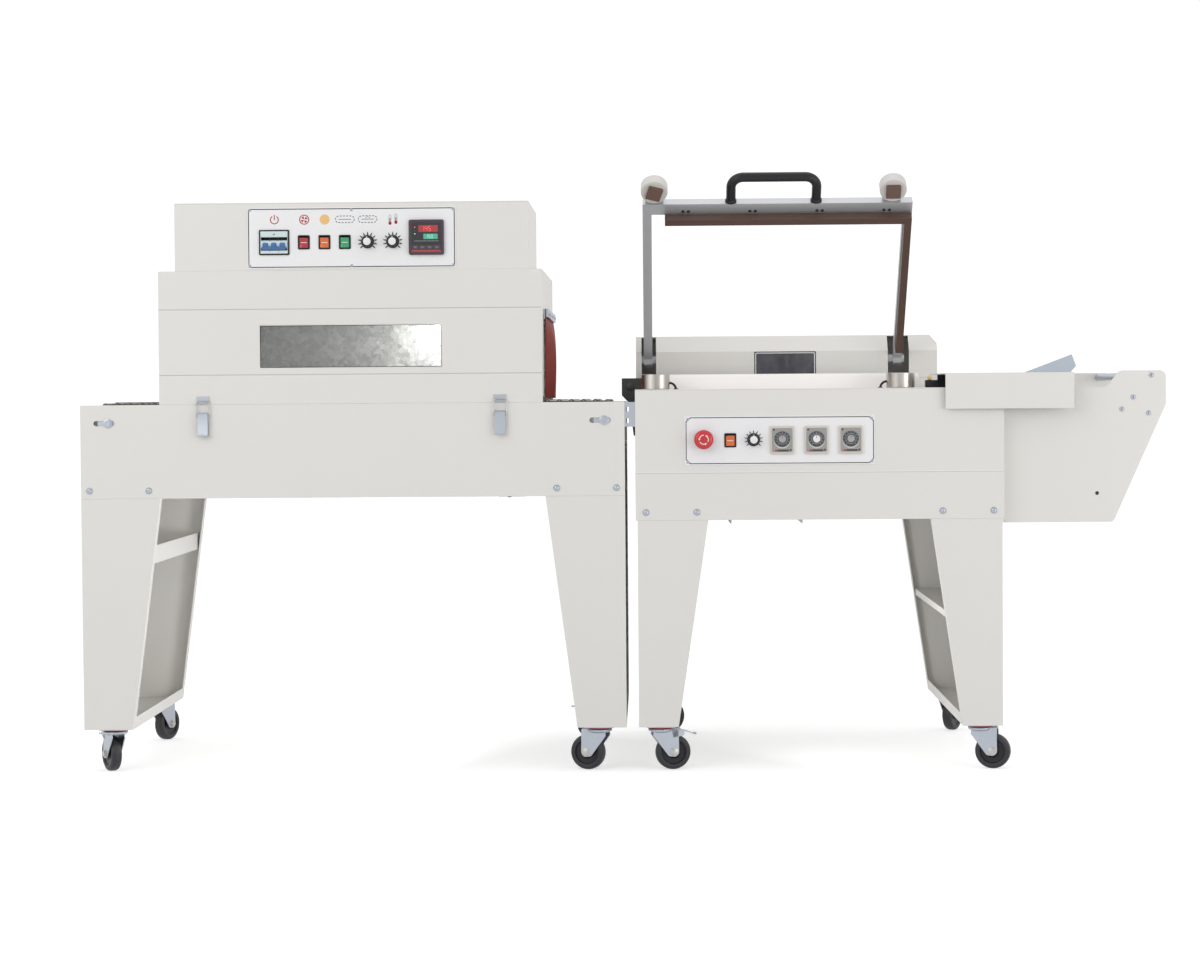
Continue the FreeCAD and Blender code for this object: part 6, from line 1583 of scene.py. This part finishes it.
def lower_jaw():
    """Silicone pads in the upper jaw's L, the two magnets with their leads, and the film punch."""
    base = Piece("lower_jaw", "frame", "bright_steel", ("seal_base",))
    table = BODY_HIGH.z
    for half, low, high in ((10 * MM, table, SEAL_Z - 6 * MM), (8 * MM, SEAL_Z - 6 * MM, SEAL_Z)):
        base.add(prism(l_outline(half), low, high, "z"), "white_silicone")
    cup = mm((29, 0), (30, 1), (30, 31), (29.2, 31.8), (24.2, 31.9), (24, 31), (17, 31), (16.8, 31.9),
             (4, 31.9), (3.4, 30.6), (1, 30.6))
    for x, side in zip(MAGNETS, (1, -1)):
        base.add(turned((x, MAGNET_Y, table), (0, 0, 1), cup, 72), "turned_steel")
        magnet_lead(base, x, side, table)
    film_punch(base, table)
    base.make(bevel=0.4 * MM)


def magnet_lead(base, x, side, table):
    """Lead that leaves the magnet level, bends down through a quarter circle and enters a grommet."""
    a = np.linspace(0, TAU / 4, 10)
    bend = 14 * MM
    path = np.column_stack([x + side * (MAGNET_R - MM + bend * np.sin(a)), np.full(10, MAGNET_Y),
                            table + bend - bend * (1 - np.cos(a))])
    path = np.concatenate([path, [path[-1] + (side * MM, 0, -12 * MM)]])
    base.add(swept(path, 2.5 * MM, 12), "black_plastic")
    grommet = turned((x + side * (MAGNET_R + 13 * MM), MAGNET_Y, table), (0, 0, 1),
                     mm((5.5, 0), (5.2, 1.6), (3, 2.2)), 24)
    base.add(grommet, "black_plastic")


def film_punch(base, table):
    """Black block where the CAD has it, with a bent bracket that holds a brass stud."""
    blocks = [(points.min(axis=0), points.max(axis=0)) for points, _ in solids_of("seal_base")
              if 20 * MM < np.ptp(points[:, 0]) < 30 * MM and np.ptp(points[:, 2]) > 20 * MM]
    low, high = blocks[-1]
    x, y = low[0], (low[1] + high[1]) / 2
    base.add(bar((x, y - 8 * MM, table), (high[0], y + 8 * MM, table + 16 * MM), MM), "black_plastic")
    bracket = filleted(mm((5, 16), (13, 16), (13, 26), (5, 26)) + (x, table), mm(0, 0, 2, 2))
    base.add(prism(bracket, y - 6 * MM, y + 6 * MM), "warm_paint")
    stud = mm((4, 0), (4, 3), (3.2, 3.6), (3.2, 6), (3.8, 6.6), (3.4, 8), (1, 8))
    base.add(turned((x + 9 * MM, y - 6 * MM, table + 21 * MM), OUT, stud, 28), "brass")


# Rear cover's plate and lip

PLATE_W, PLATE_H = 141.5 * MM, 61 * MM
PLATE_X, PLATE_Z = COVER_LOW.x + 342.35 * MM, COVER_LOW.z + 56 * MM
COVER_LIP_Z = COVER_LOW.z + 24 * MM


def rating_plate():
    """Bare dark plate with a light rim and a rivet at each end, on the rear cover's front."""
    x, y, z = PLATE_X, COVER_LOW.y, PLATE_Z
    piece = Piece("rating_plate", "frame", "bright_steel")
    plaque(piece, x, z, (PLATE_W, PLATE_H, 2 * MM), y - 0.6 * MM, y, "dark_mirror")
    outer, inner = [rounded(PLATE_W - drawn * MM, PLATE_H - drawn * MM, r * MM) + (x, z)
                    for drawn, r in ((5, 3), (8.4, 2))]
    piece.add(rim(outer, inner, y - 0.72 * MM, y - 0.5 * MM), "cap_white")
    for dx in (-PLATE_W / 2 + 3.2 * MM, PLATE_W / 2 - 3.2 * MM):
        rivet = turned((x + dx, y - 0.6 * MM, z), OUT, mm((1.6, 0), (1.4, 0.7), (0.4, 1)), 16)
        piece.add(rivet, "zinc_plate")
    piece.make()


def cover_skirt():
    """Lip along the cover's foot, right of the jaw."""
    y = COVER_LOW.y
    skirt = Piece("cover_skirt", "frame", "painted_sheet")
    skirt.add(bar((JAW_RIGHT + 4 * MM, y + MM, BODY_HIGH.z + 0.2 * MM),
                  (COVER_HIGH.x - 2 * MM, y + 2.4 * MM, COVER_LIP_Z), 0.2 * MM), "warm_paint")
    skirt.make()


# Film cradle and loading tray

def cradle():
    """End plates cut with round corners, turned ties; the tray, back and roller housings from the CAD."""
    low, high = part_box("film_cradle")
    left, right, bottom, top = BODY_HIGH.x, high.x, BODY_LOW.z, BODY_HIGH.z + 33 * MM
    rim_z = BODY_HIGH.z - 2 * MM
    outline = filleted([(left, bottom), (right - 111 * MM, bottom), (right, top - 71 * MM), (right, top),
                        (right - 99 * MM, top), (right - 124 * MM, rim_z), (left, rim_z)],
                       mm(0, 10, 14, 14, 16, 14, 0), 8)
    piece = Piece("film_cradle_plates", "frame", "painted_sheet", ("film_cradle",))
    for points, faces in solids_of("film_cradle"):
        near, far = points.min(axis=0), points.max(axis=0)
        size, middle = far - near, (near + far) / 2
        if size[0] > 300 * MM and size[2] > 200 * MM:
            piece.add(prism(outline, near[1], far[1]), "warm_paint")
        elif size[0] < 50 * MM and size[1] < 30 * MM:
            piece.add((points, faces), "black_plastic")
        elif size[1] > 500 * MM and size[2] < 30 * MM:
            profile = both_ends(mm((7, 0), (8, 1)), size[1])
            piece.add(turned((middle[0], near[1], middle[2]), (0, 1, 0), profile, 24), "zinc_plate")
        elif size[2] > 36 * MM and abs(size[0] - size[1]) < 5 * MM and size[0] < 120 * MM:
            piece.add((points, faces), "film_edge_steel")
        else:
            piece.add((points, faces), "warm_paint")
    # Black disc on the plate's front: painted shade for the roller's shaft hole.
    hole_x, _, hole_z = pivot("film_roller_outer_turn")
    plate_front = low.y + 37 * MM
    piece.add(prism(circle(4 * MM, 20) + (hole_x, hole_z), plate_front - 0.3 * MM, plate_front), "ink_black")
    piece.make(bevel=0.5 * MM)


# Stage, lamps and camera

WORLD_LIGHT = 0.8
# Name, place, aim, size in metres and watts
LAMPS = (
    ("key", (-2.7, -3.2, 2.2), (-0.1, 0.0, 0.7), (2.6, 2.4), 34.5),
    ("fill", (3.0, -2.8, 0.9), (-0.4, 0.0, 0.5), (2.0, 1.4), 24.5),
    ("top", (0.0, 0.4, 4.0), (0.0, 0.0, 0.6), (4.0, 3.0), 22.0),
    ("oven", (-0.42, 0.02, 0.965), (-0.55, 0.2, 0.85), (0.16, 0.1), 0.8),
    ("low_left", (-0.32, -0.22, 0.4), (-1.1, 0.05, 0.42), (0.2, 0.2), 2.3),
    ("low_right", (0.3, -0.22, 0.34), (0.79, 0.05, 0.36), (0.2, 0.2), 0.9),
)
FLOOR_ALBEDO = 0.66
FLOOR_GLOW = 0.56
FLOOR_HALF_W, FLOOR_FRONT, FLOOR_BEND, FLOOR_BEND_R, FLOOR_TOP = 9.0, -7.0, 4.0, 2.5, 9.0
PHOTO_WIDTH_PX = 1200.0
CAMERA_FOCAL_PX = 2758.3
CAMERA_PLACE = (0.0594, -6.1757, 0.7919)
CAMERA_PITCH, CAMERA_TURN, CAMERA_ROLL = -1.889, 1.067, 0.421
CAMERA_SENSOR = 36.0
CAMERA_REACH = 50.0


def seen_share(tree):
    """One for what the eye, a mirror or glass sees, nought for what lights the object."""
    path = tree.nodes.new("ShaderNodeLightPath")
    mirrored = math_node(tree, "MAXIMUM", path.outputs["Is Glossy Ray"], path.outputs["Is Transmission Ray"])
    return math_node(tree, "MAXIMUM", path.outputs["Is Camera Ray"], mirrored)


def studio_world():
    """White to the eye, and a little dimmer as a light."""
    world = bpy.data.worlds.new("studio")
    bpy.context.scene.world = world
    world.use_nodes = True
    tree = world.node_tree
    sky = tree.nodes["Background"]
    sky.inputs["Color"].default_value = (1, 1, 1, 1)
    added = math_node(tree, "MULTIPLY", seen_share(tree), 1.0 - WORLD_LIGHT)
    tree.links.new(math_node(tree, "ADD", added, WORLD_LIGHT), sky.inputs["Strength"])


def studio_floor():
    """Pale paper that lies flat and sweeps up behind in a quarter circle."""
    a = np.linspace(0, TAU / 4, 16)
    bend = np.stack([FLOOR_BEND + FLOOR_BEND_R * np.sin(a), FLOOR_BEND_R * (1 - np.cos(a))], -1)
    run = np.concatenate([[(FLOOR_FRONT, 0.0)], bend, [(FLOOR_BEND + FLOOR_BEND_R, FLOOR_TOP)]])
    points = [(x, y, z) for y, z in run.tolist() for x in (-FLOOR_HALF_W, FLOOR_HALF_W)]
    mesh = bpy.data.meshes.new("floor")
    mesh.from_pydata(points, [], [tuple(f)[::-1] for f in quads(len(run), 2)])
    mesh.shade_smooth()
    floor = bpy.data.objects.new("floor", mesh)
    bpy.context.scene.collection.objects.link(floor)
    tree, shader = new_finish("floor_paper", (FLOOR_ALBEDO,) * 3, 0.9)
    shader.inputs["Specular IOR Level"].default_value = 0.0
    shader.inputs["Emission Color"].default_value = (1, 1, 1, 1)
    glow = math_node(tree, "MULTIPLY", seen_share(tree), FLOOR_GLOW)
    tree.links.new(glow, shader.inputs["Emission Strength"])
    mesh.materials.append(FINISH["floor_paper"])


def studio_lamps():
    """Broad soft lamps outside, a small one in the chamber and one between each pair of legs."""
    for name, place, aim, size, power in LAMPS:
        lamp = bpy.data.lights.new(name, "AREA")
        lamp.shape = "RECTANGLE"
        lamp.size, lamp.size_y = size
        lamp.energy = power
        obj = bpy.data.objects.new(name, lamp)
        obj.location = place
        obj.visible_camera = False
        obj.rotation_mode = "QUATERNION"
        obj.rotation_quaternion = (Vector(aim) - Vector(place)).to_track_quat("-Z", "Y")
        bpy.context.scene.collection.objects.link(obj)


def photograph_camera():
    """Camera at the photograph's place: turned, pitched, then rolled about its line of sight."""
    camera = bpy.data.cameras.new("camera")
    camera.sensor_width = CAMERA_SENSOR
    camera.lens = CAMERA_SENSOR * CAMERA_FOCAL_PX / PHOTO_WIDTH_PX
    camera.clip_end = CAMERA_REACH
    turn, pitch = math.radians(CAMERA_TURN), math.radians(CAMERA_PITCH)
    ahead = Vector((-math.sin(turn) * math.cos(pitch), math.cos(turn) * math.cos(pitch), math.sin(pitch)))
    obj = bpy.data.objects.new("camera", camera)
    obj.location = CAMERA_PLACE
    obj.rotation_mode = "QUATERNION"
    obj.rotation_quaternion = Quaternion(ahead, math.radians(CAMERA_ROLL)) @ ahead.to_track_quat("-Z", "Y")
    bpy.context.scene.collection.objects.link(obj)
    bpy.context.scene.camera = obj


bpy.context.scene.view_settings.view_transform = "Standard"
studio_world()
studio_floor()
studio_lamps()
photograph_camera()

dress_sheet_metal()
joint_light_and_shade()
window_rim()
chamber()
conveyor()
for drum_node in ("film_roller_inner", "film_roller_outer", "belt_tail_roller", "belt_drive_roller"):
    spin_roller(drum_node)
discharge_belt()
curtains()
fittings()
for caster_name in CASTERS:
    caster(caster_name)
control_panels()
latches()
upper_jaw()
sealing_bar()
handle()
lower_jaw()
rating_plate()
cover_skirt()
cradle()
